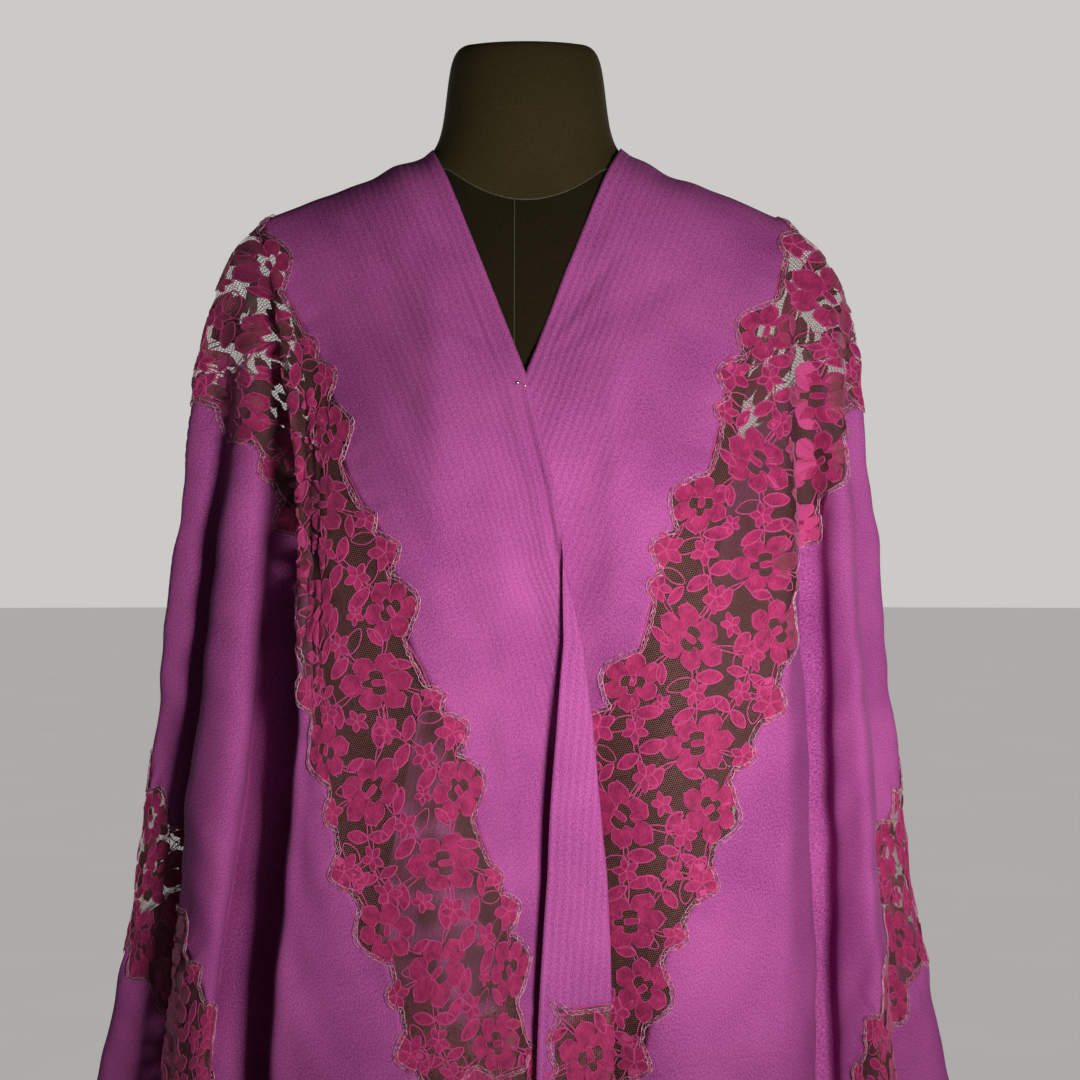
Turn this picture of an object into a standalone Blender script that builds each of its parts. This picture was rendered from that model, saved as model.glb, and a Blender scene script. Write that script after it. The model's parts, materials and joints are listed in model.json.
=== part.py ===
"""Lace shawl draped over both shoulders of a limbless dress form, in metres, +Z up.

Run with: blender --background --python part.py

The shawl is one rectangle of cloth. u runs along its long edge from the centre of the back
(negative on the wearer's right, which is -X), v runs across it from the neck edge to the hem.
The front of the form faces -Y. The origin is the middle of the stand's foot, on the floor.
"""

import math

import bmesh
import bpy
import numpy as np
from mathutils import Vector
from mathutils.bvhtree import BVHTree

# ---- the flat cut of the shawl
HALF_LENGTH = 1.05
WIDTH = 0.74
WALL = 0.0012
SEAM_GAP = 0.0003
MARGIN = 0.012
NECK_LACE = (0.140, 0.245)
HEM_LACE = (0.490, 0.592)
END_LACE = (0.820, 0.930)
SEAM_WAVE = 0.004
SEAM_WAVE_PERIOD = 0.130
HEM_WAVE_SHIFT = 0.040

# ---- where the cloth is carried
SHOULDER_U = 0.200
TIP_V = 0.135
PIN_U = 0.377
PIN_Z = 1.320
LEAN = math.radians(21.3)
TURN_START_U = 0.505
TURN_RATE = 0.25
TURN_EASING = 0.28
TURN_RADIUS = 0.003
OVERLAP = 0.035
CLEARANCE = 0.0011

# ---- the turned edge of the right front: how the strip past the turn runs, per metre
TURN_RISE = 0.36
LAPEL_ACROSS = -0.999
LAPEL_OUT = -0.10
LAPEL_RISE = 0.047

# ---- cloth cells along u (from, to, cells) and across v
COLUMN_RUNS = (
    (0.0, 0.12, 3),
    (0.12, SHOULDER_U, 6),
    (SHOULDER_U, 0.36, 12),
    (0.36, 0.53, 9),
    (0.53, END_LACE[0], 10),
    (END_LACE[0], END_LACE[1], 4),
    (END_LACE[1], HALF_LENGTH, 4),
)
BORDER_CELLS = 4
NECK_LACE_CELLS = 6
FIELD_CELLS = 10
HEM_LACE_CELLS = 4
HEM_CELLS = 4

# ---- folds that hang from each shoulder tip: bearing from the neck-edge direction in degrees,
# how far the crease stands out and forward near the tip (m), how that grows per metre below,
# and how it flares out (per metre squared) below FLARE_START
FOLD_COLUMNS = ("bearing", "out", "forward", "out_slope", "forward_slope", "flare")
RIGHT_FOLDS = (
    (26, -0.012, 0.034, -0.010, 0.088, 0.00),
    (30, -0.006, 0.032, -0.006, 0.053, 0.00),
    (35, 0.006, 0.032, 0.015, 0.100, 0.00),
    (39.5, 0.015, 0.028, 0.035, 0.120, 0.00),
    (43.5, 0.021, 0.018, 0.055, 0.107, 0.00),
    (48, 0.024, 0.010, 0.047, 0.053, 0.00),
    (62, 0.038, 0.000, 0.102, 0.000, 0.30),
    (75, 0.018, -0.014, 0.000, -0.050, 0.00),
)
LEFT_FOLDS = (
    (26, -0.002, 0.032, 0.016, 0.128, 0.00),
    (30, 0.004, 0.028, 0.023, 0.080, 0.00),
    (35, 0.014, 0.030, 0.040, 0.100, 0.00),
    (39.5, 0.024, 0.028, 0.056, 0.124, 0.00),
    (43.5, 0.028, 0.018, 0.063, 0.103, 0.00),
    (48, 0.028, 0.009, 0.053, 0.055, 0.00),
    (61, 0.039, 0.000, 0.094, 0.000, 0.30),
    (75, 0.018, -0.014, 0.000, -0.050, 0.00),
)
FOLD_ROUNDING = 0.022
FLARE_START = 0.40
NEIGHBOUR = math.radians(10.0)

# ---- depth of the front and the back below the shoulder line:
# |x|, depth at once, over what drop, more depth, from which drop, over what drop
LOW_FRONT = 0.012
FRONT_DEPTH = (
    (0.060, 0.055, 0.020, 0.095, 0.02, 0.24),
    (0.170, 0.045, 0.025, 0.080, 0.00, 0.35),
)
BACK_DEPTH = (
    (0.060, 0.085, 0.018, 0.068, 0.04, 0.45),
    (0.170, 0.050, 0.025, 0.062, 0.00, 0.38),
)

# ---- where the fronts cross: height, how far the right front's edge reaches past the middle
FRONT_EDGE = (
    (0.600, 0.0660),
    (0.690, 0.0660),
    (0.830, 0.0600),
    (0.924, 0.0576),
    (0.974, 0.0554),
    (1.018, 0.0510),
    (1.075, 0.0460),
    (1.134, 0.0390),
    (1.181, 0.0280),
    (1.241, 0.0200),
    (1.320, 0.0000),
)
# share of the way from the overlap to that edge, share of the valley's depth
EDGE_VALLEY = (
    (-0.20, 0.00),
    (0.30, 0.00),
    (0.65, 1.00),
    (1.00, 0.35),
    (1.60, 0.35),
)
VALLEY_DEPTH = 0.030
LOW_VALLEY_DEPTH = 0.060
# height, how far the left front lies behind the right one
LEFT_BEHIND = (
    (0.64, 0.092),
    (0.80, 0.040),
    (1.00, 0.038),
    (1.15, 0.025),
    (1.24, 0.012),
    (1.32, 0.006),
    (1.42, 0.000),
)
HIDDEN_FROM = -0.020
HIDDEN_REACH = 0.145
HIDDEN_SLANT = 0.35
NARROWING = 0.03

# ---- upright folds in the back: depth, period, phase in radians
BACK_FOLDS = (0.017, 0.155, 0.9)
NAPE_FOLDS = (0.004, 0.034, 0.0)

# ---- the dress form: height, half width, depth in front, depth behind
FORM_RINGS = (
    (0.800, 0.150, 0.084, 0.104),
    (0.806, 0.158, 0.092, 0.112),
    (0.840, 0.169, 0.101, 0.125),
    (0.890, 0.172, 0.102, 0.128),
    (0.960, 0.160, 0.098, 0.118),
    (1.030, 0.137, 0.093, 0.098),
    (1.085, 0.122, 0.090, 0.085),
    (1.150, 0.130, 0.100, 0.090),
    (1.200, 0.141, 0.114, 0.095),
    (1.245, 0.148, 0.120, 0.098),
    (1.290, 0.154, 0.114, 0.100),
    (1.330, 0.162, 0.100, 0.100),
    (1.370, 0.171, 0.084, 0.092),
    (1.400, 0.176, 0.073, 0.083),
    (1.420, 0.173, 0.065, 0.075),
    (1.434, 0.162, 0.060, 0.069),
    (1.446, 0.144, 0.056, 0.065),
    (1.456, 0.122, 0.053, 0.061),
    (1.465, 0.098, 0.051, 0.058),
    (1.474, 0.078, 0.050, 0.056),
    (1.484, 0.066, 0.0495, 0.054),
    (1.500, 0.060, 0.049, 0.053),
    (1.530, 0.057, 0.0485, 0.051),
    (1.550, 0.054, 0.046, 0.0485),
    (1.558, 0.049, 0.042, 0.044),
    (1.560, 0.044, 0.037, 0.039),
)
FORM_POINTS = 36

# ---- the stand
# radius, height
BASE_PROFILE = (
    (0.200, 0.000),
    (0.203, 0.004),
    (0.200, 0.009),
    (0.120, 0.016),
    (0.040, 0.022),
    (0.024, 0.034),
)
POLE_RADIUS = 0.0125
POLE_BOTTOM = 0.0343
COLLAR_HEIGHT = 0.022
COLLAR_RADIUS = 0.030
PIECE_GAP = 0.0003
ROUND_POINTS = 32


def smooth_step(t):
    t = np.clip(t, 0.0, 1.0)
    return t * t * (3.0 - 2.0 * t)


def lerp(a, b, t):
    return a + (b - a) * t


# ---------------------------------------------------------------- how the cloth hangs

COS_LEAN = math.cos(LEAN)
SIN_LEAN = math.sin(LEAN)
SHOULDER_RISE = PIN_U - SHOULDER_U
NECK_X = SHOULDER_RISE * SIN_LEAN
NECK_Z = PIN_Z + SHOULDER_RISE * COS_LEAN
TIP_X = NECK_X + TIP_V * COS_LEAN
TIP_Z = NECK_Z - TIP_V * SIN_LEAN
SHOULDER_TOP = 1.484
BACK_NECK_Z = 1.450
BACK_FALL = 0.97


def turn_line(u):
    """v of the line along which the right front's edge turns back; below 0 there is no turn."""
    past = np.minimum(-u - TURN_START_U, 0.5 * TURN_RATE / TURN_EASING)
    return past * (TURN_RATE - TURN_EASING * np.maximum(past, 0.0))


def roll_start(u):
    """v at which the sheet leaves the front to go round the turned edge."""
    return np.maximum(0.0, turn_line(u) + 0.5 * math.pi * TURN_RADIUS)


def depth_below(x, z, rows):
    """Depth of a face of the drape, blended between a middle and a side profile."""
    x = np.abs(x)
    line = np.minimum(TIP_Z + (TIP_X - np.minimum(x, TIP_X)) * math.tan(LEAN), SHOULDER_TOP)
    drop = np.maximum(line - z, 0.0)
    depths = []
    for _, first, first_drop, more, start, span in rows:
        slow = more * smooth_step((drop - start) / span)
        depths.append(first * (1.0 - np.exp(-drop / first_drop)) + slow)
    side = np.clip((x - rows[0][0]) / (rows[1][0] - rows[0][0]), 0.0, 1.0)
    return lerp(depths[0], depths[1], side)


def front_y(x, z):
    return -depth_below(x, z, FRONT_DEPTH) - LOW_FRONT * smooth_step((1.15 - z) / 0.35)


def upright_folds(x, folds):
    depth, period, phase = folds
    return depth * np.cos(x * 2.0 * math.pi / period + phase)


def back_y(x, z):
    """The back has soft upright folds that grow downwards, and small ones at the nape."""
    low = upright_folds(x, BACK_FOLDS) * smooth_step((1.40 - z) / 0.55)
    nape = upright_folds(x, NAPE_FOLDS) * smooth_step((z - 1.36) / 0.08)
    return depth_below(x, z, BACK_DEPTH) + low + nape


def narrowing(z):
    """The fronts fall slightly inwards below the shoulder tips."""
    return 1.0 - NARROWING * np.maximum(TIP_Z - z, 0.0) / TIP_X


def read_table(at, rows):
    """Value between the rows of a table of (place, value)."""
    places, values = zip(*rows)
    return np.interp(at, places, values)


def front_plane(u, v):
    """Distance across and height of a place on a front, both flat."""
    rise = PIN_U - np.abs(u)
    return v * COS_LEAN + rise * SIN_LEAN, PIN_Z + rise * COS_LEAN - v * SIN_LEAN


def edge_s(z):
    """Signed distance across, at a height, of the line where the right front ends or turns."""
    u = np.linspace(-HALF_LENGTH - 0.3, -SHOULDER_U, 120)
    s, heights = front_plane(u, roll_start(u))
    return np.interp(z, heights, s)


def plane_point(u, v):
    """The two fronts, which hang flat and lean towards the pin."""
    right = u < 0
    s, z = front_plane(u, v)
    s = s * narrowing(z)
    edge = edge_s(z) * narrowing(z)
    turned = smooth_step(roll_start(u) / (0.5 * math.pi * TURN_RADIUS))
    reach = read_table(z, FRONT_EDGE) - TURN_RADIUS * turned
    share = (OVERLAP - s) / np.maximum(OVERLAP - edge, 0.01)
    near = right & (s < OVERLAP) & (z < PIN_Z)
    x_right = np.where(near, -OVERLAP + (reach + OVERLAP) * share, -s)

    past = np.maximum(HIDDEN_FROM - s, 0.0)
    hidden = HIDDEN_FROM - HIDDEN_REACH * (1.0 - np.exp(-past / HIDDEN_REACH))
    x_left = np.where(s < HIDDEN_FROM, hidden, s)

    x = np.where(right, x_right, x_left)
    y = front_y(x, z)
    below = smooth_step((0.80 - z) / 0.16)
    valley = VALLEY_DEPTH * smooth_step((1.26 - z) / 0.35) + LOW_VALLEY_DEPTH * below
    y_right = y + np.where(near, valley * read_table(share, EDGE_VALLEY), 0.0)
    behind = read_table(z, LEFT_BEHIND) * smooth_step((0.10 - s) / 0.07)
    y_left = y + behind + HIDDEN_SLANT * below * past
    return x, np.where(right, y_right, y_left), z


def hermite(t, before, start, end, after, spans):
    """Cubic through start and end with slopes from the neighbours; spans are the three widths."""
    m0 = ((start - before) / spans[0] * spans[1] + (end - start)) * 0.5
    m1 = ((end - start) + (after - end) / spans[2] * spans[1]) * 0.5
    return ((2 * t ** 3 - 3 * t ** 2 + 1) * start + (t ** 3 - 2 * t ** 2 + t) * m0
            + (3 * t ** 2 - 2 * t ** 3) * end + (t ** 3 - t ** 2) * m1)


def back_edge_x(fall):
    """Where the cloth that hangs from the back of a shoulder tip lies, across."""
    return TIP_X + 0.012 * (1.0 - np.exp(-fall / FOLD_ROUNDING)) + 0.05 * fall


def wedge_point(bearing, fall, folds):
    """The cone of folds that hangs from a shoulder tip, between the front and the back."""
    front_x = TIP_X - NARROWING * fall
    inner_front_x = front_x - fall * math.sin(NEIGHBOUR)
    back_x = back_edge_x(fall)
    bearings = [LEAN - NEIGHBOUR, LEAN]
    stations = [(x, front_y(x, TIP_Z - fall)) for x in (inner_front_x, front_x)]
    cap = 1.0 - np.exp(-fall / FOLD_ROUNDING)
    below = np.maximum(fall - FLARE_START, 0.0) ** 2
    for row in folds:
        fold = dict(zip(FOLD_COLUMNS, row))
        bearings.append(math.radians(fold["bearing"]))
        out = fold["out"] * cap + fold["out_slope"] * fall + fold["flare"] * below
        forward = fold["forward"] * cap + fold["forward_slope"] * fall
        stations.append((TIP_X + out, -forward))
    bearings += [0.5 * math.pi, 0.5 * math.pi + NEIGHBOUR]
    inner_x = back_x - fall * math.sin(NEIGHBOUR)
    stations += [(back_x, back_y(back_x, TIP_Z - fall)), (inner_x, back_y(inner_x, TIP_Z - fall))]

    x = np.zeros_like(fall)
    y = np.zeros_like(fall)
    for i in range(1, len(bearings) - 2):
        inside = (bearing >= bearings[i]) & (bearing <= bearings[i + 1])
        t = (bearing - bearings[i]) / (bearings[i + 1] - bearings[i])
        spans = [bearings[i + k] - bearings[i + k - 1] for k in range(3)]
        for axis, target in ((0, x), (1, y)):
            four = [stations[i + k][axis] for k in (-1, 0, 1, 2)]
            target[inside] = hermite(t, *four, spans)[inside]
    turned = np.clip((bearing - LEAN) / (0.5 * math.pi - LEAN), 0.0, 1.0)
    z = TIP_Z - fall * (1.0 - 0.015 * np.sin(math.pi * turned))
    return x, y, z


def back_point(u, v):
    """The back, which hangs from both shoulders and dips between them."""
    t = np.abs(u) / SHOULDER_U
    fall = np.maximum(v - TIP_V, 0.0)
    on_shoulder = v < TIP_V
    edge_x = np.where(on_shoulder, NECK_X + v * COS_LEAN, back_edge_x(fall))
    edge_z = np.where(on_shoulder, NECK_Z - v * SIN_LEAN, TIP_Z - fall)
    middle_z = BACK_NECK_Z - BACK_FALL * v
    bow = np.clip(1.0 - v / TIP_V, 0.0, 1.0)
    x = edge_x * ((1.0 - bow) * t + bow * np.sin(0.5 * math.pi * t))
    z = middle_z + (edge_z - middle_z) * t ** 2
    return x, back_y(x, z), z


# how far the fold beside the right front's lace is drawn inwards: height, distance
EDGE_PULL = (
    (0.84, 0.000), (0.91, 0.006), (0.96, 0.013), (1.02, 0.019), (1.09, 0.025),
    (1.19, 0.027), (1.29, 0.021), (1.36, 0.009), (1.43, 0.000),
)
EDGE_PULL_X = -0.190
EDGE_PULL_REACH = 0.070


def drawn_in(x, y, z):
    """Across, once the cloth beside the right front's lace is drawn inwards."""
    heights, distances = zip(*EDGE_PULL)
    off_line = np.clip((x - EDGE_PULL_X) / EDGE_PULL_REACH, -1.0, 1.0)
    near = np.cos(0.5 * math.pi * off_line) ** 2 * smooth_step((0.06 - y) / 0.08)
    return x + np.interp(z, heights, distances) * near


def hang(u, v):
    """Mid-surface of the sheet before it is settled; u and v are arrays."""
    along = np.abs(u) - SHOULDER_U
    across = v - TIP_V
    bearing = np.arctan2(across, along)
    fall = np.hypot(along, across)
    x, y, z = plane_point(u, v)
    side = np.where(u < 0, -1.0, 1.0)
    for sign, folds in ((-1.0, RIGHT_FOLDS), (1.0, LEFT_FOLDS)):
        wedge = (side == sign) & (along >= 0) & (bearing >= LEAN)
        wx, wy, wz = wedge_point(bearing, fall, folds)
        x = np.where(wedge, sign * wx, x)
        y = np.where(wedge, wy, y)
        z = np.where(wedge, wz, z)
    back = along < 0
    bx, by, bz = back_point(u, v)
    x = np.where(back, side * bx, x)
    y = np.where(back, by, y)
    z = np.where(back, bz, z)
    return np.stack((drawn_in(x, y, z), y, z), axis=-1)


# ---------------------------------------------------------------- settling on the form

SETTLE_STEP = 0.005
TIP_PASSES = 25
FOLD_PASSES = 60
REST_SHARE = 0.1
REGROWTH = 1.04
CELL_TESTS = (0.0, 0.25, 0.5, 0.75, 1.0)
LIFT_PASSES = 12
LIFT_TOLERANCE = 0.00002
SEARCH_REACH = 0.03


def neighbour_mean(points):
    """Mean of each grid point's neighbours; along a rim only those on the rim."""
    mean = points.copy()
    mean[1:-1, 1:-1] = 0.25 * (points[:-2, 1:-1] + points[2:, 1:-1] + points[1:-1, :-2] + points[1:-1, 2:])
    mean[1:-1, 0] = 0.5 * (points[:-2, 0] + points[2:, 0])
    mean[1:-1, -1] = 0.5 * (points[:-2, -1] + points[2:, -1])
    mean[0, 1:-1] = 0.5 * (points[0, :-2] + points[0, 2:])
    mean[-1, 1:-1] = 0.5 * (points[-1, :-2] + points[-1, 2:])
    return mean


def smooth_sheet(points, share, passes):
    """Round off creases by a share that varies over the sheet, without shrinking large forms."""
    share = share[..., None]
    for _ in range(passes):
        points = points + (neighbour_mean(points) - points) * share
        points = points - (neighbour_mean(points) - points) * share * REGROWTH
    return points


def clear_of_form(points, form_tree, clearance):
    """Move every point that is too near the form out along the form's nearest face."""
    flat = points.reshape(-1, 3)
    lowest = FORM_RINGS[0][0] - 0.02
    for i in range(len(flat)):
        if flat[i, 2] < lowest:
            continue
        near, normal, _, _ = form_tree.find_nearest(Vector(flat[i]))
        height = (Vector(flat[i]) - near).dot(normal)
        if height < clearance:
            flat[i] = near + normal * clearance
    return flat.reshape(points.shape)


def settle(form_tree):
    """The whole sheet as a fine grid of points that lies on the form."""
    columns = int(round(2.0 * HALF_LENGTH / SETTLE_STEP)) + 1
    rows = int(round(WIDTH / SETTLE_STEP)) + 1
    u, v = np.meshgrid(np.linspace(-HALF_LENGTH, HALF_LENGTH, columns), np.linspace(0.0, WIDTH, rows),
                       indexing="ij")
    points = hang(u, v)
    along = np.abs(u) - SHOULDER_U
    across = v - TIP_V
    from_tip = np.hypot(along, across)
    near_tip = 0.5 * smooth_step((0.10 - from_tip) / 0.06)
    along_shoulder = 0.5 * smooth_step((0.04 - np.abs(along)) / 0.03) * (v < 0.20)
    bearing = np.arctan2(across, along)
    from_front = smooth_step((bearing - LEAN + 0.10) / 0.15)
    folds = 0.5 * from_front * smooth_step((math.pi * 0.5 + 0.25 - bearing) / 0.2)
    points = clear_of_form(points, form_tree, CLEARANCE)
    points = smooth_sheet(points, np.maximum(near_tip, along_shoulder), TIP_PASSES)
    points = clear_of_form(points, form_tree, CLEARANCE)
    points = smooth_sheet(points, np.maximum(folds, REST_SHARE), FOLD_PASSES)
    return clear_of_form(points, form_tree, CLEARANCE)


def read_sheet(sheet, u, v):
    """Smooth reading between the settled grid's points."""
    a = np.clip((u + HALF_LENGTH) / SETTLE_STEP, 0.0, sheet.shape[0] - 1.0001)
    b = np.clip(v / SETTLE_STEP, 0.0, sheet.shape[1] - 1.0001)
    i = a.astype(int)
    j = b.astype(int)
    total = 0.0
    for di in range(-1, 3):
        for dj in range(-1, 3):
            row = np.clip(i + di, 0, sheet.shape[0] - 1)
            column = np.clip(j + dj, 0, sheet.shape[1] - 1)
            weight = cubic_weight(a - i, di) * cubic_weight(b - j, dj)
            total = total + sheet[row, column] * weight[..., None]
    return total


def cubic_weight(t, offset):
    """Catmull-Rom weight of the point at an offset of -1, 0, 1 or 2 from the cell's start."""
    if offset == -1:
        return 0.5 * (-t + 2 * t ** 2 - t ** 3)
    if offset == 0:
        return 0.5 * (2 - 5 * t ** 2 + 3 * t ** 3)
    if offset == 1:
        return 0.5 * (t + 4 * t ** 2 - 3 * t ** 3)
    return 0.5 * (-t ** 2 + t ** 3)


def drape(sheet, u, v):
    """Mid-surface points, with the right front's edge rolled out over itself."""
    start = np.where(u < 0, roll_start(u), 0.0)
    rolled = np.maximum(start - v, 0.0)
    point = read_sheet(sheet, u, np.maximum(v, start))
    angle = np.minimum(rolled / TURN_RADIUS, math.pi)
    flat = np.maximum(rolled - math.pi * TURN_RADIUS, 0.0)
    x = TURN_RADIUS * np.sin(angle) + LAPEL_ACROSS * flat
    y = -TURN_RADIUS * (1.0 - np.cos(angle)) + LAPEL_OUT * flat
    z = TURN_RISE * np.minimum(rolled, 0.5 * math.pi * TURN_RADIUS) + LAPEL_RISE * flat
    return point + np.stack((x, y, z), axis=-1)


# ---------------------------------------------------------------- the cells of the sheet

def seam_wave(along):
    return SEAM_WAVE * np.cos(2.0 * math.pi * along / SEAM_WAVE_PERIOD)


def column_places():
    """u of every column of points, from the wearer's right end to the left end."""
    half = [0.0]
    for start, end, cells in COLUMN_RUNS:
        half += [start + (end - start) * (i + 1) / cells for i in range(cells)]
    return np.array([-u for u in reversed(half[1:])] + half)


def spread(start, end, cells):
    """The inner rows between two seams."""
    return [start + (end - start) * (i + 1) / cells for i in range(cells - 1)]


def row_places(u):
    """v of every row of points at one u."""
    turn = 0.5 * math.pi * TURN_RADIUS
    least = turn + lerp(0.003, 0.025, float(smooth_step((u + TURN_START_U) / 0.2)))
    line = max(turn_line(u), least)
    neck = [edge + float(seam_wave(np.array(u))) for edge in NECK_LACE]
    hem = [edge + float(seam_wave(np.array(u + HEM_WAVE_SHIFT))) for edge in HEM_LACE]
    margin = min(MARGIN, 0.55 * (line - turn))
    if abs(u) > END_LACE[0] - 0.02:
        margin = MARGIN
    rows = [0.0, margin, line - turn, line, line + turn]
    rows += spread(line + turn, neck[0], BORDER_CELLS) + [neck[0]]
    rows += spread(neck[0], neck[1], NECK_LACE_CELLS) + [neck[1]]
    rows += spread(neck[1], hem[0], FIELD_CELLS) + [hem[0]]
    rows += spread(hem[0], hem[1], HEM_LACE_CELLS) + [hem[1]]
    rows += spread(hem[1], WIDTH - MARGIN, HEM_CELLS) + [WIDTH - MARGIN, WIDTH]
    return rows


NECK_SEAM_ROW = 4 + BORDER_CELLS
FIELD_ROW = NECK_SEAM_ROW + NECK_LACE_CELLS
HEM_SEAM_ROW = FIELD_ROW + FIELD_CELLS
HEM_ROW = HEM_SEAM_ROW + HEM_LACE_CELLS
MARGIN_ROW = HEM_ROW + HEM_CELLS
LAST_ROW = MARGIN_ROW + 1


def lift_cells(points, form_tree):
    """Move the corners of every cell out until no place inside the cell is too near the form."""
    shares = [(a, b) for a in CELL_TESTS for b in CELL_TESTS]
    for _ in range(LIFT_PASSES):
        push = np.zeros_like(points)
        most = np.zeros(points.shape[:2])
        for i in range(points.shape[0] - 1):
            for j in range(points.shape[1] - 1):
                corners = points[i:i + 2, j:j + 2]
                if corners[..., 2].max() < FORM_RINGS[0][0]:
                    continue
                for a, b in shares:
                    weights = np.array([[(1 - a) * (1 - b), (1 - a) * b], [a * (1 - b), a * b]])
                    place = Vector((corners * weights[..., None]).sum(axis=(0, 1)))
                    near, normal, _, _ = form_tree.find_nearest(place, SEARCH_REACH)
                    if near is None:
                        continue
                    lack = CLEARANCE - (place - near).dot(normal)
                    if lack <= 0.0:
                        continue
                    wanted = weights / (weights ** 2).sum() * lack
                    stronger = wanted > most[i:i + 2, j:j + 2]
                    most[i:i + 2, j:j + 2] = np.where(stronger, wanted, most[i:i + 2, j:j + 2])
                    moves = wanted[..., None] * np.array(normal)
                    push[i:i + 2, j:j + 2] = np.where(stronger[..., None], moves, push[i:i + 2, j:j + 2])
        if most.max() < LIFT_TOLERANCE:
            break
        points = points + push
    return points


def sheet_nodes(sheet, form_tree):
    """Points and outward normals of the mid-surface at every column and row."""
    columns = column_places()
    v = np.array([row_places(u) for u in columns])
    u = np.repeat(columns[:, None], v.shape[1], axis=1)
    for edge in END_LACE:
        on_seam = np.abs(np.abs(u) - edge) < 1e-6
        u = np.where(on_seam, u + np.sign(u) * seam_wave(v), u)
    points = lift_cells(drape(sheet, u, v), form_tree)
    along = np.gradient(points, axis=0)
    across = np.gradient(points, axis=1)
    normals = np.cross(along, across)
    normals /= np.linalg.norm(normals, axis=-1, keepdims=True)
    return columns, points, normals


def step_towards(points, at, step):
    """Unit vector from a node to its neighbour a column or a row away."""
    other = points[at[0] + step[0], at[1] + step[1]]
    run = other - points[at]
    return run / np.linalg.norm(run)


def cloth_piece(name, material, nodes, blocks):
    """One piece of the sheet as a closed wall; blocks are (first u, last u, first row, last row)."""
    columns, points, normals = nodes
    block_cells = []
    for first_u, last_u, first_row, last_row in blocks:
        first = int(np.argmin(np.abs(columns - first_u)))
        last = int(np.argmin(np.abs(columns - last_u)))
        block_cells.append((first, last, first_row, last_row))
    start_column = min(block[0] for block in block_cells)
    end_column = max(block[1] for block in block_cells)
    start_row = min(block[2] for block in block_cells)
    end_row = max(block[3] for block in block_cells)

    def has_cell(column, row):
        return any(a <= column < b and c <= row < d for a, b, c, d in block_cells)

    bm = bmesh.new()
    across = end_column - start_column
    down = end_row - start_row
    bmesh.ops.create_grid(bm, x_segments=across, y_segments=down, size=1.0)
    column_of = bm.verts.layers.int.new("column")
    row_of = bm.verts.layers.int.new("row")
    lift = bm.verts.layers.float_vector.new("lift")
    for vert in bm.verts:
        vert[column_of] = start_column + int(round((vert.co.x + 1.0) * 0.5 * across))
        vert[row_of] = start_row + int(round((vert.co.y + 1.0) * 0.5 * down))
    outside = []
    for face in bm.faces:
        column = min(vert[column_of] for vert in face.verts)
        row = min(vert[row_of] for vert in face.verts)
        if not has_cell(column, row):
            outside.append(face)
    bmesh.ops.delete(bm, geom=outside, context="FACES")

    for vert in bm.verts:
        column, row = vert[column_of], vert[row_of]
        pull = [0, 0]
        for step_column in (-1, 1):
            for step_row in (-1, 1):
                if has_cell(column + min(step_column, 0), row + min(step_row, 0)):
                    pull[0] += step_column
                    pull[1] += step_row
        shift = np.zeros(3)
        if pull[0]:
            shift += step_towards(points, (column, row), (int(np.sign(pull[0])), 0))
        if pull[1]:
            shift += step_towards(points, (column, row), (0, int(np.sign(pull[1]))))
        half_wall = normals[column, row] * 0.5 * WALL
        vert.co = Vector(points[column, row] + shift * 0.5 * SEAM_GAP - half_wall)
        vert[lift] = Vector(half_wall * 2.0)
    grown = bmesh.ops.extrude_face_region(bm, geom=bm.faces[:], use_keep_orig=True)
    for item in grown["geom"]:
        if isinstance(item, bmesh.types.BMVert):
            item.co += item[lift]
    split_along_folds(bm, column_of, row_of, len(columns) // 2)
    bmesh.ops.recalc_face_normals(bm, faces=bm.faces[:])
    return finished(name, bm, material)


def split_along_folds(bm, column_of, row_of, middle):
    """Cut each cell along the diagonal that runs away from the neck, as the folds do."""
    for face in list(bm.faces):
        def outwards(vert):
            return abs(vert[column_of] - middle) + vert[row_of]
        ends = sorted(face.verts, key=outwards)
        if outwards(ends[-1]) - outwards(ends[0]) == 2:
            bmesh.utils.face_split(face, ends[0], ends[-1])
    bmesh.ops.triangulate(bm, faces=bm.faces[:])


# ---------------------------------------------------------------- the form and its stand

def form_mesh():
    """The torso and neck, as one closed body through level rings."""
    bm = bmesh.new()
    loops = []
    for height, half_width, front, behind in FORM_RINGS:
        ring = []
        for i in range(FORM_POINTS):
            angle = 2.0 * math.pi * i / FORM_POINTS
            depth = behind if math.sin(angle) > 0 else front
            ring.append(bm.verts.new((half_width * math.cos(angle), depth * math.sin(angle), height)))
        loops.append([bm.edges.new((ring[i - 1], ring[i])) for i in range(FORM_POINTS)])
    for lower, upper in zip(loops, loops[1:]):
        bmesh.ops.bridge_loops(bm, edges=lower + upper)
    bmesh.ops.contextual_create(bm, geom=loops[0])
    bmesh.ops.contextual_create(bm, geom=loops[-1])
    bmesh.ops.recalc_face_normals(bm, faces=bm.faces[:])
    bmesh.ops.triangulate(bm, faces=bm.faces[:])
    return bm


def turned(name, material, profile):
    """A closed turned solid; profile is (radius, height) from the bottom up."""
    bm = bmesh.new()
    verts = [bm.verts.new((0.0, 0.0, profile[0][1]))]
    verts += [bm.verts.new((radius, 0.0, height)) for radius, height in profile]
    verts += [bm.verts.new((0.0, 0.0, profile[-1][1]))]
    edges = [bm.edges.new(pair) for pair in zip(verts, verts[1:])]
    bmesh.ops.spin(bm, geom=verts + edges, cent=(0, 0, 0), axis=(0, 0, 1), angle=2.0 * math.pi,
                   steps=ROUND_POINTS, use_merge=True, use_duplicate=False)
    bmesh.ops.remove_doubles(bm, verts=bm.verts[:], dist=0.00001)
    bmesh.ops.recalc_face_normals(bm, faces=bm.faces[:])
    return finished(name, bm, material)


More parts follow.
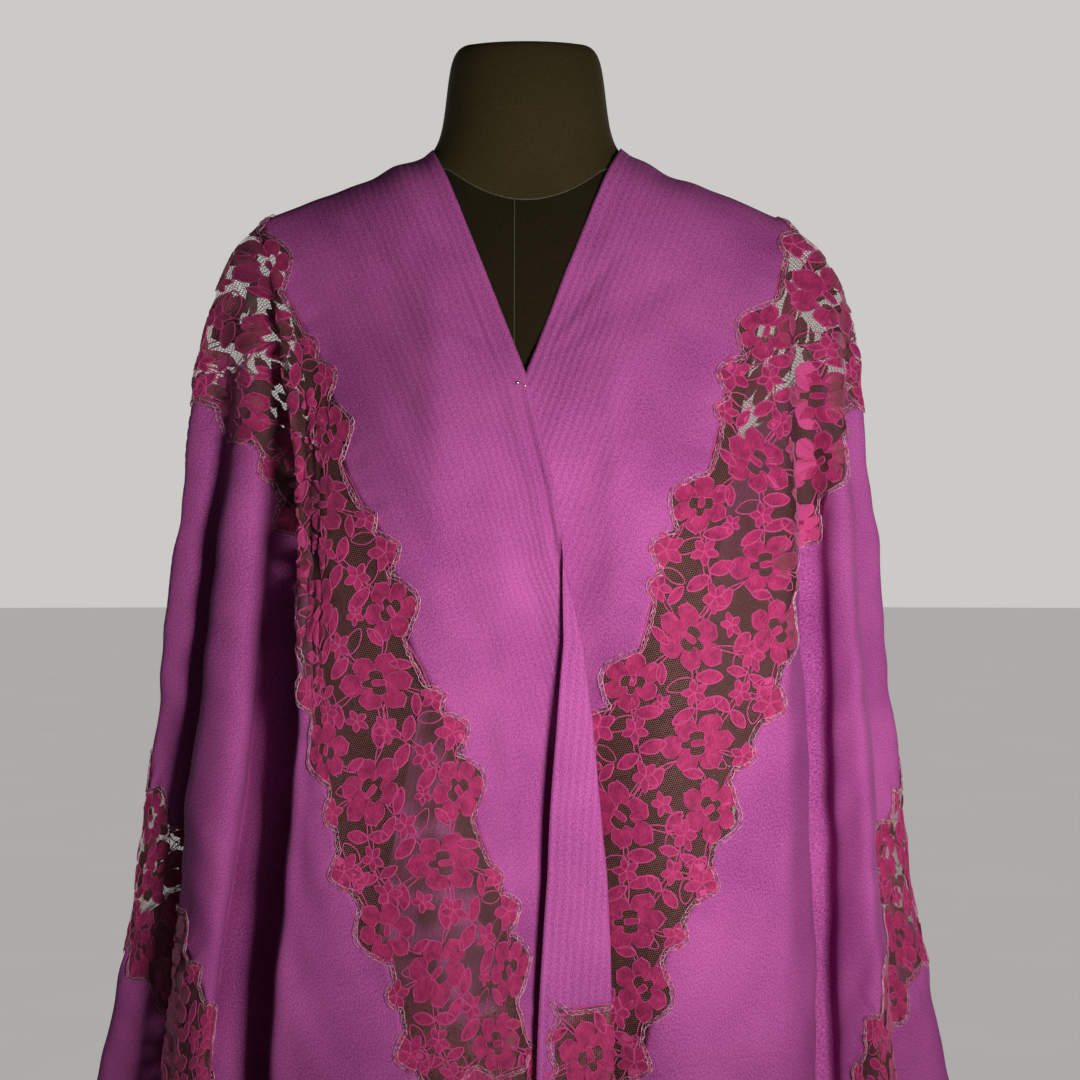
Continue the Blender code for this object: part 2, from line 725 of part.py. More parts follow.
def collar(material):
    """The ring under the torso that the pole passes through."""
    inner = POLE_RADIUS + PIECE_GAP
    top = FORM_RINGS[0][0] - PIECE_GAP
    section = ((inner, top - COLLAR_HEIGHT), (COLLAR_RADIUS, top - COLLAR_HEIGHT),
               (COLLAR_RADIUS, top - 0.006), (0.055, top - 0.004), (0.055, top), (inner, top))
    bm = bmesh.new()
    verts = [bm.verts.new((radius, 0.0, height)) for radius, height in section]
    edges = [bm.edges.new((verts[i - 1], verts[i])) for i in range(len(verts))]
    bmesh.ops.spin(bm, geom=verts + edges, cent=(0, 0, 0), axis=(0, 0, 1), angle=2.0 * math.pi,
                   steps=ROUND_POINTS, use_merge=True, use_duplicate=False)
    bmesh.ops.recalc_face_normals(bm, faces=bm.faces[:])
    return finished("stand_collar", bm, material)


# ---------------------------------------------------------------- objects and materials

def make_material(name, colour, roughness, metallic=0.0):
    material = bpy.data.materials.new(name)
    material.use_nodes = True
    shader = material.node_tree.nodes["Principled BSDF"]
    shader.inputs["Base Color"].default_value = (*colour, 1.0)
    shader.inputs["Roughness"].default_value = roughness
    shader.inputs["Metallic"].default_value = metallic
    material.diffuse_color = (*colour, 1.0)
    return material


def finished(name, bm, material):
    mesh = bpy.data.meshes.new(name)
    bm.to_mesh(mesh)
    bm.free()
    mesh.materials.append(material)
    mesh.shade_smooth()
    mesh.set_sharp_from_angle(angle=math.radians(50))
    piece = bpy.data.objects.new(name, mesh)
    bpy.context.scene.collection.objects.link(piece)
    return piece


def build_cloth(form_tree):
    nodes = sheet_nodes(settle(form_tree), form_tree)
    wool = make_material("wool_cloth", (0.42, 0.09, 0.36), 0.75)
    lace = make_material("lace", (0.55, 0.05, 0.22), 0.7)
    inner, outer, end = END_LACE[0], END_LACE[1], HALF_LENGTH
    cloth_piece("cloth_neck_border", wool, nodes,
                ((-inner, inner, 0, NECK_SEAM_ROW), (-outer, outer, 0, 1)))
    cloth_piece("lace_neck_band", lace, nodes, ((-inner, inner, NECK_SEAM_ROW, FIELD_ROW),))
    cloth_piece("cloth_field", wool, nodes, ((-inner, inner, FIELD_ROW, HEM_SEAM_ROW),))
    cloth_piece("lace_hem_band", lace, nodes, ((-inner, inner, HEM_SEAM_ROW, HEM_ROW),))
    cloth_piece("cloth_hem_border", wool, nodes,
                ((-inner, inner, HEM_ROW, LAST_ROW), (-outer, outer, MARGIN_ROW, LAST_ROW)))
    cloth_piece("lace_end_right", lace, nodes, ((-outer, -inner, 1, MARGIN_ROW),))
    cloth_piece("lace_end_left", lace, nodes, ((inner, outer, 1, MARGIN_ROW),))
    cloth_piece("cloth_end_right", wool, nodes, ((-end, -outer, 0, LAST_ROW),))
    cloth_piece("cloth_end_left", wool, nodes, ((outer, end, 0, LAST_ROW),))


def build_stand():
    iron = make_material("black_iron", (0.03, 0.03, 0.03), 0.45, 0.9)
    turned("stand_base", iron, BASE_PROFILE)
    top = FORM_RINGS[0][0] - PIECE_GAP
    turned("stand_pole", iron, ((POLE_RADIUS, POLE_BOTTOM), (POLE_RADIUS, top)))
    collar(iron)


def main():
    for item in list(bpy.data.objects):
        bpy.data.objects.remove(item, do_unlink=True)
    bm = form_mesh()
    form_tree = BVHTree.FromBMesh(bm)
    finished("form_torso", bm, make_material("form_jersey", (0.03, 0.03, 0.025), 0.9))
    build_stand()
    build_cloth(form_tree)


if __name__ == "__main__":
    main()
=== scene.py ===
"""Looks of the lace shawl on its dress form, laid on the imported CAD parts.

Every cloth piece is cut flat, in u along the shawl's long edge, v across it and h off the cloth,
and is then laid on the hung sheet, which is worked out in the same way as the CAD solids are.
"""

import json
import math

import bmesh
import bpy
import numpy as np
from mathutils import Matrix, Vector
from mathutils.bvhtree import BVHTree

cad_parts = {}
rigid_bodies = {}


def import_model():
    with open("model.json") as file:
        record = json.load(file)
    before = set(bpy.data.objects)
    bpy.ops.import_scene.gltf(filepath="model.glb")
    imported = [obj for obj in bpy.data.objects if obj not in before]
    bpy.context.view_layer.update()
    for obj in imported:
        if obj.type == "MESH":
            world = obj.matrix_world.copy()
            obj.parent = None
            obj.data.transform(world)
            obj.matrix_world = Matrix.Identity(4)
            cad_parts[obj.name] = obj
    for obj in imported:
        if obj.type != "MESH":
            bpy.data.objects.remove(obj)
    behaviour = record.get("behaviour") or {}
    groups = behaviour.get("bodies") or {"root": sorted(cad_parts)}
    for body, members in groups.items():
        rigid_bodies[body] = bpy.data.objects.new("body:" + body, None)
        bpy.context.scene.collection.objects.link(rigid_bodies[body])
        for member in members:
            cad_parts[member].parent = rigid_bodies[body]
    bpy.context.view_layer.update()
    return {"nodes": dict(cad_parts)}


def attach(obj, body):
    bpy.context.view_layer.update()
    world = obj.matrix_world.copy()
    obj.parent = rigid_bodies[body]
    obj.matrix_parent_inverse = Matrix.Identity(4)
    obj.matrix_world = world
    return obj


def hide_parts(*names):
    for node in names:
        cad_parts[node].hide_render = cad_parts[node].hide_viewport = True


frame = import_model()
MM = 0.001

# ---- the flat cut of the shawl
HALF_LENGTH = 1.05
WIDTH = 0.74
MARGIN = 0.012
NECK_LACE = (0.140, 0.245)
HEM_LACE = (0.490, 0.592)
END_LACE = (0.820, 0.930)
SEAM_WAVE = 0.004
SEAM_WAVE_PERIOD = 0.130
HEM_WAVE_SHIFT = 0.04
LONG = 2.0 * END_LACE[0]

# ---- where the cloth is carried
SHOULDER_U = 0.200
TIP_V = 0.135
PIN_U = 0.377
PIN_Z = 1.320
LEAN = math.radians(21.3)
TURN_START_U = 0.505
TURN_RATE = 0.25
TURN_EASING = 0.28
TURN_RADIUS = 0.003
OVERLAP = 0.035
CLEARANCE = 0.0011
FORM_BOTTOM = 0.800

# ---- folds that hang from each shoulder tip: bearing from the neck-edge direction in degrees,
# how far the crease stands out and forward near the tip (m), how that grows per metre below,
# and how it flares out (per metre squared) below FLARE_START
FOLD_COLUMNS = ("bearing", "out", "forward", "out_slope", "forward_slope", "flare")
RIGHT_FOLDS = (
    (26, -0.012, 0.034, -0.010, 0.088, 0.00),
    (30, -0.006, 0.032, -0.006, 0.053, 0.00),
    (35, 0.006, 0.032, 0.015, 0.100, 0.00),
    (39.5, 0.015, 0.028, 0.035, 0.120, 0.00),
    (43.5, 0.021, 0.018, 0.055, 0.107, 0.00),
    (48, 0.024, 0.010, 0.047, 0.053, 0.00),
    (62, 0.038, 0.000, 0.102, 0.000, 0.30),
    (75, 0.018, -0.014, 0.000, -0.050, 0.00),
)
LEFT_FOLDS = (
    (26, -0.002, 0.032, 0.016, 0.128, 0.00),
    (30, 0.004, 0.028, 0.023, 0.080, 0.00),
    (35, 0.014, 0.030, 0.040, 0.100, 0.00),
    (39.5, 0.024, 0.028, 0.056, 0.124, 0.00),
    (43.5, 0.028, 0.018, 0.063, 0.103, 0.00),
    (48, 0.028, 0.009, 0.053, 0.055, 0.00),
    (61, 0.039, 0.000, 0.094, 0.000, 0.30),
    (75, 0.018, -0.014, 0.000, -0.050, 0.00),
)
FOLD_ROUNDING = 0.022
FLARE_START = 0.40
NEIGHBOUR = math.radians(10.0)

# ---- depth of the front and the back below the shoulder line:
# |x|, depth at once, over what drop, more depth, from which drop, over what drop
LOW_FRONT = 0.012
FRONT_DEPTH = (
    (0.060, 0.055, 0.020, 0.095, 0.02, 0.24),
    (0.170, 0.045, 0.025, 0.080, 0.00, 0.35),
)
BACK_DEPTH = (
    (0.060, 0.085, 0.018, 0.068, 0.04, 0.45),
    (0.170, 0.050, 0.025, 0.062, 0.00, 0.38),
)

# ---- where the fronts cross: height, how far the right front's edge reaches past the middle
FRONT_EDGE = (
    (0.600, 0.0660),
    (0.690, 0.0660),
    (0.830, 0.0600),
    (0.924, 0.0576),
    (0.974, 0.0554),
    (1.018, 0.0510),
    (1.075, 0.0460),
    (1.134, 0.0390),
    (1.181, 0.0280),
    (1.241, 0.0200),
    (1.320, 0.0000),
)
# share of the way from the overlap to that edge, share of the valley's depth
EDGE_VALLEY = (
    (-0.20, 0.00),
    (0.30, 0.00),
    (0.65, 1.00),
    (1.00, 0.35),
    (1.60, 0.35),
)
VALLEY_DEPTH = 0.030
LOW_VALLEY_DEPTH = 0.060
# height, how far the left front lies behind the right one
LEFT_BEHIND = (
    (0.64, 0.092),
    (0.80, 0.040),
    (1.00, 0.038),
    (1.15, 0.025),
    (1.24, 0.012),
    (1.32, 0.006),
    (1.42, 0.000),
)
HIDDEN_FROM = -0.020
HIDDEN_REACH = 0.145
HIDDEN_SLANT = 0.35
NARROWING = 0.03

# ---- upright folds in the back: depth, period, phase in radians
BACK_FOLDS = (0.017, 0.155, 0.9)
NAPE_FOLDS = (0.004, 0.034, 0.0)


def smooth_step(t):
    t = np.clip(t, 0.0, 1.0)
    return t * t * (3.0 - 2.0 * t)


def lerp(a, b, t):
    return a + (b - a) * t


# ---------------------------------------------------------------- how the cloth hangs

COS_LEAN = math.cos(LEAN)
SIN_LEAN = math.sin(LEAN)
SHOULDER_RISE = PIN_U - SHOULDER_U
NECK_X = SHOULDER_RISE * SIN_LEAN
NECK_Z = PIN_Z + SHOULDER_RISE * COS_LEAN
TIP_X = NECK_X + TIP_V * COS_LEAN
TIP_Z = NECK_Z - TIP_V * SIN_LEAN
SHOULDER_TOP = 1.484
BACK_NECK_Z = 1.450
BACK_FALL = 0.97


def turn_line(u):
    """v of the line along which the right front's edge turns back; below 0 there is no turn."""
    past = np.minimum(-u - TURN_START_U, 0.5 * TURN_RATE / TURN_EASING)
    return past * (TURN_RATE - TURN_EASING * np.maximum(past, 0.0))


def roll_start(u):
    """v at which the sheet leaves the front to go round the turned edge."""
    return np.maximum(0.0, turn_line(u) + 0.5 * math.pi * TURN_RADIUS)


def depth_below(x, z, rows):
    """Depth of a face of the drape, blended between a middle and a side profile."""
    x = np.abs(x)
    line = np.minimum(TIP_Z + (TIP_X - np.minimum(x, TIP_X)) * math.tan(LEAN), SHOULDER_TOP)
    drop = np.maximum(line - z, 0.0)
    depths = []
    for _, first, first_drop, more, start, span in rows:
        slow = more * smooth_step((drop - start) / span)
        depths.append(first * (1.0 - np.exp(-drop / first_drop)) + slow)
    side = np.clip((x - rows[0][0]) / (rows[1][0] - rows[0][0]), 0.0, 1.0)
    return lerp(depths[0], depths[1], side)


def front_y(x, z):
    return -depth_below(x, z, FRONT_DEPTH) - LOW_FRONT * smooth_step((1.15 - z) / 0.35)


def upright_folds(x, folds):
    depth, period, phase = folds
    return depth * np.cos(x * 2.0 * math.pi / period + phase)


def back_y(x, z):
    """The back has soft upright folds that grow downwards, and small ones at the nape."""
    low = upright_folds(x, BACK_FOLDS) * smooth_step((1.40 - z) / 0.55)
    nape = upright_folds(x, NAPE_FOLDS) * smooth_step((z - 1.36) / 0.08)
    return depth_below(x, z, BACK_DEPTH) + low + nape


def narrowing(z):
    """The fronts fall slightly inwards below the shoulder tips."""
    return 1.0 - NARROWING * np.maximum(TIP_Z - z, 0.0) / TIP_X


def read_table(at, rows):
    """Value between the rows of a table of (place, value)."""
    places, values = zip(*rows)
    return np.interp(at, places, values)


def front_plane(u, v):
    """Distance across and height of a place on a front, both flat."""
    rise = PIN_U - np.abs(u)
    return v * COS_LEAN + rise * SIN_LEAN, PIN_Z + rise * COS_LEAN - v * SIN_LEAN


def edge_s(z):
    """Signed distance across, at a height, of the line where the right front ends or turns."""
    u = np.linspace(-HALF_LENGTH - 0.3, -SHOULDER_U, 120)
    s, heights = front_plane(u, roll_start(u))
    return np.interp(z, heights, s)


def plane_point(u, v):
    """The two fronts, which hang flat and lean towards the pin."""
    right = u < 0
    s, z = front_plane(u, v)
    s = s * narrowing(z)
    edge = edge_s(z) * narrowing(z)
    turned = smooth_step(roll_start(u) / (0.5 * math.pi * TURN_RADIUS))
    reach = read_table(z, FRONT_EDGE) - TURN_RADIUS * turned
    share = (OVERLAP - s) / np.maximum(OVERLAP - edge, 0.01)
    near = right & (s < OVERLAP) & (z < PIN_Z)
    x_right = np.where(near, -OVERLAP + (reach + OVERLAP) * share, -s)

    past = np.maximum(HIDDEN_FROM - s, 0.0)
    hidden = HIDDEN_FROM - HIDDEN_REACH * (1.0 - np.exp(-past / HIDDEN_REACH))
    x_left = np.where(s < HIDDEN_FROM, hidden, s)

    x = np.where(right, x_right, x_left)
    y = front_y(x, z)
    below = smooth_step((0.80 - z) / 0.16)
    valley = VALLEY_DEPTH * smooth_step((1.26 - z) / 0.35) + LOW_VALLEY_DEPTH * below
    y_right = y + np.where(near, valley * read_table(share, EDGE_VALLEY), 0.0)
    behind = read_table(z, LEFT_BEHIND) * smooth_step((0.10 - s) / 0.07)
    y_left = y + behind + HIDDEN_SLANT * below * past
    return x, np.where(right, y_right, y_left), z


def hermite(t, before, start, end, after, spans):
    """Cubic through start and end with slopes from the neighbours; spans are the three widths."""
    m0 = ((start - before) / spans[0] * spans[1] + (end - start)) * 0.5
    m1 = ((end - start) + (after - end) / spans[2] * spans[1]) * 0.5
    return ((2 * t ** 3 - 3 * t ** 2 + 1) * start + (t ** 3 - 2 * t ** 2 + t) * m0
            + (3 * t ** 2 - 2 * t ** 3) * end + (t ** 3 - t ** 2) * m1)


def back_edge_x(fall):
    """Where the cloth that hangs from the back of a shoulder tip lies, across."""
    return TIP_X + 0.012 * (1.0 - np.exp(-fall / FOLD_ROUNDING)) + 0.05 * fall


def wedge_point(bearing, fall, folds):
    """The cone of folds that hangs from a shoulder tip, between the front and the back."""
    front_x = TIP_X - NARROWING * fall
    inner_front_x = front_x - fall * math.sin(NEIGHBOUR)
    back_x = back_edge_x(fall)
    bearings = [LEAN - NEIGHBOUR, LEAN]
    stations = [(x, front_y(x, TIP_Z - fall)) for x in (inner_front_x, front_x)]
    cap = 1.0 - np.exp(-fall / FOLD_ROUNDING)
    below = np.maximum(fall - FLARE_START, 0.0) ** 2
    for row in folds:
        fold = dict(zip(FOLD_COLUMNS, row))
        bearings.append(math.radians(fold["bearing"]))
        out = fold["out"] * cap + fold["out_slope"] * fall + fold["flare"] * below
        forward = fold["forward"] * cap + fold["forward_slope"] * fall
        stations.append((TIP_X + out, -forward))
    bearings += [0.5 * math.pi, 0.5 * math.pi + NEIGHBOUR]
    inner_x = back_x - fall * math.sin(NEIGHBOUR)
    stations += [(back_x, back_y(back_x, TIP_Z - fall)), (inner_x, back_y(inner_x, TIP_Z - fall))]

    x = np.zeros_like(fall)
    y = np.zeros_like(fall)
    for i in range(1, len(bearings) - 2):
        inside = (bearing >= bearings[i]) & (bearing <= bearings[i + 1])
        t = (bearing - bearings[i]) / (bearings[i + 1] - bearings[i])
        spans = [bearings[i + k] - bearings[i + k - 1] for k in range(3)]
        for axis, target in ((0, x), (1, y)):
            four = [stations[i + k][axis] for k in (-1, 0, 1, 2)]
            target[inside] = hermite(t, *four, spans)[inside]
    turned = np.clip((bearing - LEAN) / (0.5 * math.pi - LEAN), 0.0, 1.0)
    z = TIP_Z - fall * (1.0 - 0.015 * np.sin(math.pi * turned))
    return x, y, z


def back_point(u, v):
    """The back, which hangs from both shoulders and dips between them."""
    t = np.abs(u) / SHOULDER_U
    fall = np.maximum(v - TIP_V, 0.0)
    on_shoulder = v < TIP_V
    edge_x = np.where(on_shoulder, NECK_X + v * COS_LEAN, back_edge_x(fall))
    edge_z = np.where(on_shoulder, NECK_Z - v * SIN_LEAN, TIP_Z - fall)
    middle_z = BACK_NECK_Z - BACK_FALL * v
    bow = np.clip(1.0 - v / TIP_V, 0.0, 1.0)
    x = edge_x * ((1.0 - bow) * t + bow * np.sin(0.5 * math.pi * t))
    z = middle_z + (edge_z - middle_z) * t ** 2
    return x, back_y(x, z), z


# how far the fold beside the right front's lace is drawn inwards: height, distance
EDGE_PULL = (
    (0.84, 0.000), (0.91, 0.006), (0.96, 0.013), (1.02, 0.019), (1.09, 0.025),
    (1.19, 0.027), (1.29, 0.021), (1.36, 0.009), (1.43, 0.000),
)
EDGE_PULL_X = -0.190
EDGE_PULL_REACH = 0.070


def drawn_in(x, y, z):
    """Across, once the cloth beside the right front's lace is drawn inwards."""
    off_line = np.clip((x - EDGE_PULL_X) / EDGE_PULL_REACH, -1.0, 1.0)
    near = np.cos(0.5 * math.pi * off_line) ** 2 * smooth_step((0.06 - y) / 0.08)
    return x + read_table(z, EDGE_PULL) * near


def hang(u, v):
    """Mid-surface of the sheet before it is settled; u and v are arrays."""
    along = np.abs(u) - SHOULDER_U
    across = v - TIP_V
    bearing = np.arctan2(across, along)
    fall = np.hypot(along, across)
    x, y, z = plane_point(u, v)
    side = np.where(u < 0, -1.0, 1.0)
    for sign, folds in ((-1.0, RIGHT_FOLDS), (1.0, LEFT_FOLDS)):
        wedge = (side == sign) & (along >= 0) & (bearing >= LEAN)
        wx, wy, wz = wedge_point(bearing, fall, folds)
        x = np.where(wedge, sign * wx, x)
        y = np.where(wedge, wy, y)
        z = np.where(wedge, wz, z)
    back = along < 0
    bx, by, bz = back_point(u, v)
    x = np.where(back, side * bx, x)
    y = np.where(back, by, y)
    z = np.where(back, bz, z)
    return np.stack((drawn_in(x, y, z), y, z), axis=-1)


# ---------------------------------------------------------------- settling on the form

SETTLE_STEP = 0.005
TIP_PASSES = 25
FOLD_PASSES = 60
REST_SHARE = 0.1
REGROWTH = 1.04


def neighbour_mean(points):
    """Mean of each grid point's neighbours; along a rim only those on the rim."""
    mean = points.copy()
    mean[1:-1, 1:-1] = 0.25 * (points[:-2, 1:-1] + points[2:, 1:-1] + points[1:-1, :-2] + points[1:-1, 2:])
    mean[1:-1, 0] = 0.5 * (points[:-2, 0] + points[2:, 0])
    mean[1:-1, -1] = 0.5 * (points[:-2, -1] + points[2:, -1])
    mean[0, 1:-1] = 0.5 * (points[0, :-2] + points[0, 2:])
    mean[-1, 1:-1] = 0.5 * (points[-1, :-2] + points[-1, 2:])
    return mean


def smooth_sheet(points, share, passes):
    """Round off creases by a share that varies over the sheet, without shrinking large forms."""
    share = share[..., None]
    for _ in range(passes):
        points = points + (neighbour_mean(points) - points) * share
        points = points - (neighbour_mean(points) - points) * share * REGROWTH
    return points


def clear_of_form(points, form_tree, clearance):
    """Move every point that is too near the form out along the form's nearest face."""
    flat = points.reshape(-1, 3)
    for i in range(len(flat)):
        if flat[i, 2] < FORM_BOTTOM - 0.02:
            continue
        near, normal, _, _ = form_tree.find_nearest(Vector(flat[i]), 0.02)
        if near is None:
            continue
        height = (Vector(flat[i]) - near).dot(normal)
        if height < clearance:
            flat[i] = near + normal * clearance
    return flat.reshape(points.shape)


def sheet_grid(step):
    """u and v of every point of a grid over the whole shawl."""
    columns = int(round(2.0 * HALF_LENGTH / step)) + 1
    rows = int(round(WIDTH / step)) + 1
    return np.meshgrid(np.linspace(-HALF_LENGTH, HALF_LENGTH, columns), np.linspace(0.0, WIDTH, rows),
                       indexing="ij")


def settle(form_tree):
    """The whole sheet as a grid of points that lies on the form."""
    u, v = sheet_grid(SETTLE_STEP)
    points = hang(u, v)
    along = np.abs(u) - SHOULDER_U
    across = v - TIP_V
    from_tip = np.hypot(along, across)
    near_tip = 0.5 * smooth_step((0.10 - from_tip) / 0.06)
    along_shoulder = 0.5 * smooth_step((0.04 - np.abs(along)) / 0.03) * (v < 0.20)
    bearing = np.arctan2(across, along)
    from_front = smooth_step((bearing - LEAN + 0.10) / 0.15)
    folds = 0.5 * from_front * smooth_step((math.pi * 0.5 + 0.25 - bearing) / 0.2)
    points = clear_of_form(points, form_tree, CLEARANCE)
    points = smooth_sheet(points, np.maximum(near_tip, along_shoulder), TIP_PASSES)
    points = clear_of_form(points, form_tree, CLEARANCE)
    points = smooth_sheet(points, np.maximum(folds, REST_SHARE), FOLD_PASSES)
    return clear_of_form(points, form_tree, CLEARANCE)


def cubic_weight(t, offset):
    """Catmull-Rom weight of the point at an offset of -1, 0, 1 or 2 from the cell's start."""
    if offset == -1:
        return 0.5 * (-t + 2 * t ** 2 - t ** 3)
    if offset == 0:
        return 0.5 * (2 - 5 * t ** 2 + 3 * t ** 3)
    if offset == 1:
        return 0.5 * (t + 4 * t ** 2 - 3 * t ** 3)
    return 0.5 * (-t ** 2 + t ** 3)


def read_sheet(sheet, step, u, v):
    """Smooth reading between a grid's points."""
    a = np.clip((u + HALF_LENGTH) / step, 0.0, sheet.shape[0] - 1.0001)
    b = np.clip(v / step, 0.0, sheet.shape[1] - 1.0001)
    i = a.astype(int)
    j = b.astype(int)
    total = 0.0
    for di in range(-1, 3):
        for dj in range(-1, 3):
            column = np.clip(i + di, 0, sheet.shape[0] - 1)
            row = np.clip(j + dj, 0, sheet.shape[1] - 1)
            weight = cubic_weight(a - i, di) * cubic_weight(b - j, dj)
            total = total + sheet[column, row] * weight[..., None]
    return total


def drape(sheet, u, v):
    """Mid-surface points, with the right front's edge rolled out over itself."""
    start = np.where(u < 0, roll_start(u), 0.0)
    rolled = np.maximum(start - v, 0.0)
    point = read_sheet(sheet, SETTLE_STEP, u, np.maximum(v, start))
    angle = np.minimum(rolled / TURN_RADIUS, math.pi)
    flat = np.maximum(rolled - math.pi * TURN_RADIUS, 0.0)
    x = TURN_RADIUS * np.sin(angle) - 0.999 * flat
    y = -TURN_RADIUS * (1.0 - np.cos(angle)) - 0.10 * flat
    z = 0.36 * np.minimum(rolled, 0.5 * math.pi * TURN_RADIUS) + 0.047 * flat
    return point + np.stack((x, y, z), axis=-1)


# ---------------------------------------------------------------- fine creases, off the cloth

# pulls from the pin: angle from the neck edge towards the shoulder, half width, depth in mm
PIN_PULLS = (
    (5.0, 1.8, 1.0),
    (10.5, 2.2, -0.7),
    (16.0, 2.6, 1.1),
    (24.0, 3.4, -0.6),
    (33.0, 4.5, 0.9),
    (46.0, 6.0, -0.7),
)
LEFT_PULL = 0.7
# soft waves over the whole cloth: period in mm, degrees from the length, height in mm, start
SOFT_WAVES = (
    (61, 96, 0.55, 0.4),
    (43, 74, 0.40, 2.1),
    (97, 108, 0.80, 4.0),
    (29, 83, 0.22, 1.3),
    (149, 35, 0.70, 5.2),
)
LEFT_WAVE_SHIFT = 1.7
# troughs that fan down from the shoulder tips: side, bearing in degrees, depth (less than 0
# for a ridge), half width
TROUGHS = (
    (1, 30.6, 0.017, 0.014),
    (-1, 35.5, 0.025, 0.018),
    (-1, 45.5, -0.009, 0.011),
    (-1, 51.9, 0.011, 0.007),
)
TROUGH_START = 0.10
TROUGH_GROWTH = 0.20
# creases beside the right front's edge: v, half width, height
GROOVES_ABOVE_PIN = (
    (0.0100, 0.0025, -0.0013),
    (0.0180, 0.0025, -0.0013),
)
GROOVES_BELOW_PIN = (
    (0.0085, 0.0026, -0.0022),
    (0.0150, 0.0040, 0.0011),
)
PUCKER_PERIOD = 0.0170
SLOW_PUCKER_PERIOD = 0.0275
SLOW_PUCKER_SHARE = 0.7
PUCKER_HEIGHT = 0.00055
PUCKER_REACH = 0.018
HEM_RISE = 0.00035
HEM_FOLD = 0.0095
HEM_FOLD_EDGE = 0.003
GATHER_PERIOD = 0.0115
GATHER_HEIGHT = 0.0017
GATHER_LINE = 0.176
GATHER_HALF_WIDTH = 0.026
EDGE_CALM = 0.004
EDGE_CALM_FADE = 0.03
SET_BACK = 0.005

# where creases begin and end, and over what distance they grow and fade
PULL_REACH = (0.0, 0.26, 0.05, 0.22)
ABOVE_PIN = (0.24, PIN_U - 0.002, 0.06, 0.03)
BELOW_PIN = (PIN_U + 0.004, 0.55, 0.02, 0.06)
GATHER_HEIGHTS = (1.06, 1.36, 0.10, 0.08)
GATHER_BAND = (NECK_LACE[0] - 0.01, NECK_LACE[1] + 0.01, 0.02, 0.02)
UNDER_TURN = (0.06, 0.36, 0.07, 0.07)


def crease(away, half_width):
    """Section of one soft crease, 1 in its middle."""
    return np.exp(-(away / half_width) ** 2)


def window(place, start, end, growth, fade):
    """1 between a start and an end, with soft limits inside them."""
    return smooth_step((place - start) / growth) * smooth_step((end - place) / fade)


def pin_pulls(u, v):
    """Creases that run from the pin up to the shoulders."""
    along = PIN_U - np.abs(u)
    angle = np.degrees(np.arctan2(v, along))
    total = np.zeros_like(u)
    for centre, half_width, depth in PIN_PULLS:
        total -= depth * MM * crease(angle - centre, half_width)
    return total * window(np.hypot(along, v), *PULL_REACH) * np.where(u < 0, 1.0, LEFT_PULL)


def soft_waves(u, v):
    total = np.zeros_like(u)
    for period, direction, height, start in SOFT_WAVES:
        turn = math.radians(direction)
        phase = (np.abs(u) * math.cos(turn) + v * math.sin(turn)) / (period * MM) * 2.0 * math.pi
        total += height * MM * np.sin(phase + start + np.where(u < 0, 0.0, LEFT_WAVE_SHIFT))
    return total


def troughs(u, v):
    """Valleys, and one ridge, that run down from the shoulder tips."""
    along = np.abs(u) - SHOULDER_U
    fall = np.hypot(along, v - TIP_V)
    bearing = np.degrees(np.arctan2(v - TIP_V, along))
    total = np.zeros_like(u)
    for side, at, depth, half_width in TROUGHS:
        away = np.radians(bearing - at) * fall
        total -= np.where(u * side > 0, depth, 0.0) * crease(away, half_width)
    return total * smooth_step((fall - TROUGH_START) / TROUGH_GROWTH)


def seam_pucker(u, v):
    """Short puckers where the lace is sewn to the cloth."""
    quick = np.sin(u / PUCKER_PERIOD * 2.0 * math.pi + 3.0 * np.sin(u * 19.0))
    total = np.zeros_like(u)
    for edge in NECK_LACE + HEM_LACE:
        slow = SLOW_PUCKER_SHARE * np.sin(u / SLOW_PUCKER_PERIOD * 6.28 + edge)
        total += PUCKER_HEIGHT * crease(v - edge, PUCKER_REACH) * (quick + slow)
    return total


def turned_hem(u, v):
    """The narrow hem all round stands up a little from the cloth."""
    inside = np.minimum(np.minimum(v, WIDTH - v), HALF_LENGTH - np.abs(u))
    return HEM_RISE * smooth_step((HEM_FOLD - inside) / HEM_FOLD_EDGE)


def edge_grooves(u, v):
    """Two creases beside the right front's edge above the pin, and one with a lip below it."""
    total = np.zeros_like(u)
    for reach, grooves in ((ABOVE_PIN, GROOVES_ABOVE_PIN), (BELOW_PIN, GROOVES_BELOW_PIN)):
        share = window(np.abs(u), *reach)
        for at, half_width, height in grooves:
            total += height * share * crease(v - at, half_width)
    return np.where(u < 0, total, 0.0)


def lace_gather(u, v):
    """The right front's lace is bunched in upright crinkles below the shoulder."""
    s, z = front_plane(u, v)
    share = crease(s - GATHER_LINE, GATHER_HALF_WIDTH) * window(z, *GATHER_HEIGHTS)
    share = share * window(v, *GATHER_BAND)
    wander = 0.0022 * np.sin(z * 61.0) + 0.0012 * np.sin(z * 140.0 + 1.0)
    wave = np.sin((s + wander) / GATHER_PERIOD * 2.0 * math.pi)
    return np.where(u < 0, GATHER_HEIGHT * share * wave, 0.0)


def under_the_turn(u, v):
    """1 where the left front passes close under the turned edge of the right front, low down."""
    return smooth_step((u - 0.86) / 0.08) * window(v, *UNDER_TURN)


def creases(u, v):
    """Height off the hung cloth, kept away from the turned edge of the right front."""
    turned = smooth_step((v - roll_start(u) - EDGE_CALM) / EDGE_CALM_FADE)
    under = under_the_turn(u, v)
    broad = (pin_pulls(u, v) + soft_waves(u, v)) * np.where(u < 0, turned, 1.0 - under)
    small = seam_pucker(u, v) + lace_gather(u, v) + turned_hem(u, v) + edge_grooves(u, v)
    return broad + troughs(u, v) + small - SET_BACK * under


# ---------------------------------------------------------------- the hung sheet

HUNG_STEP = 0.0025
NORMAL_REACH = 0.0010


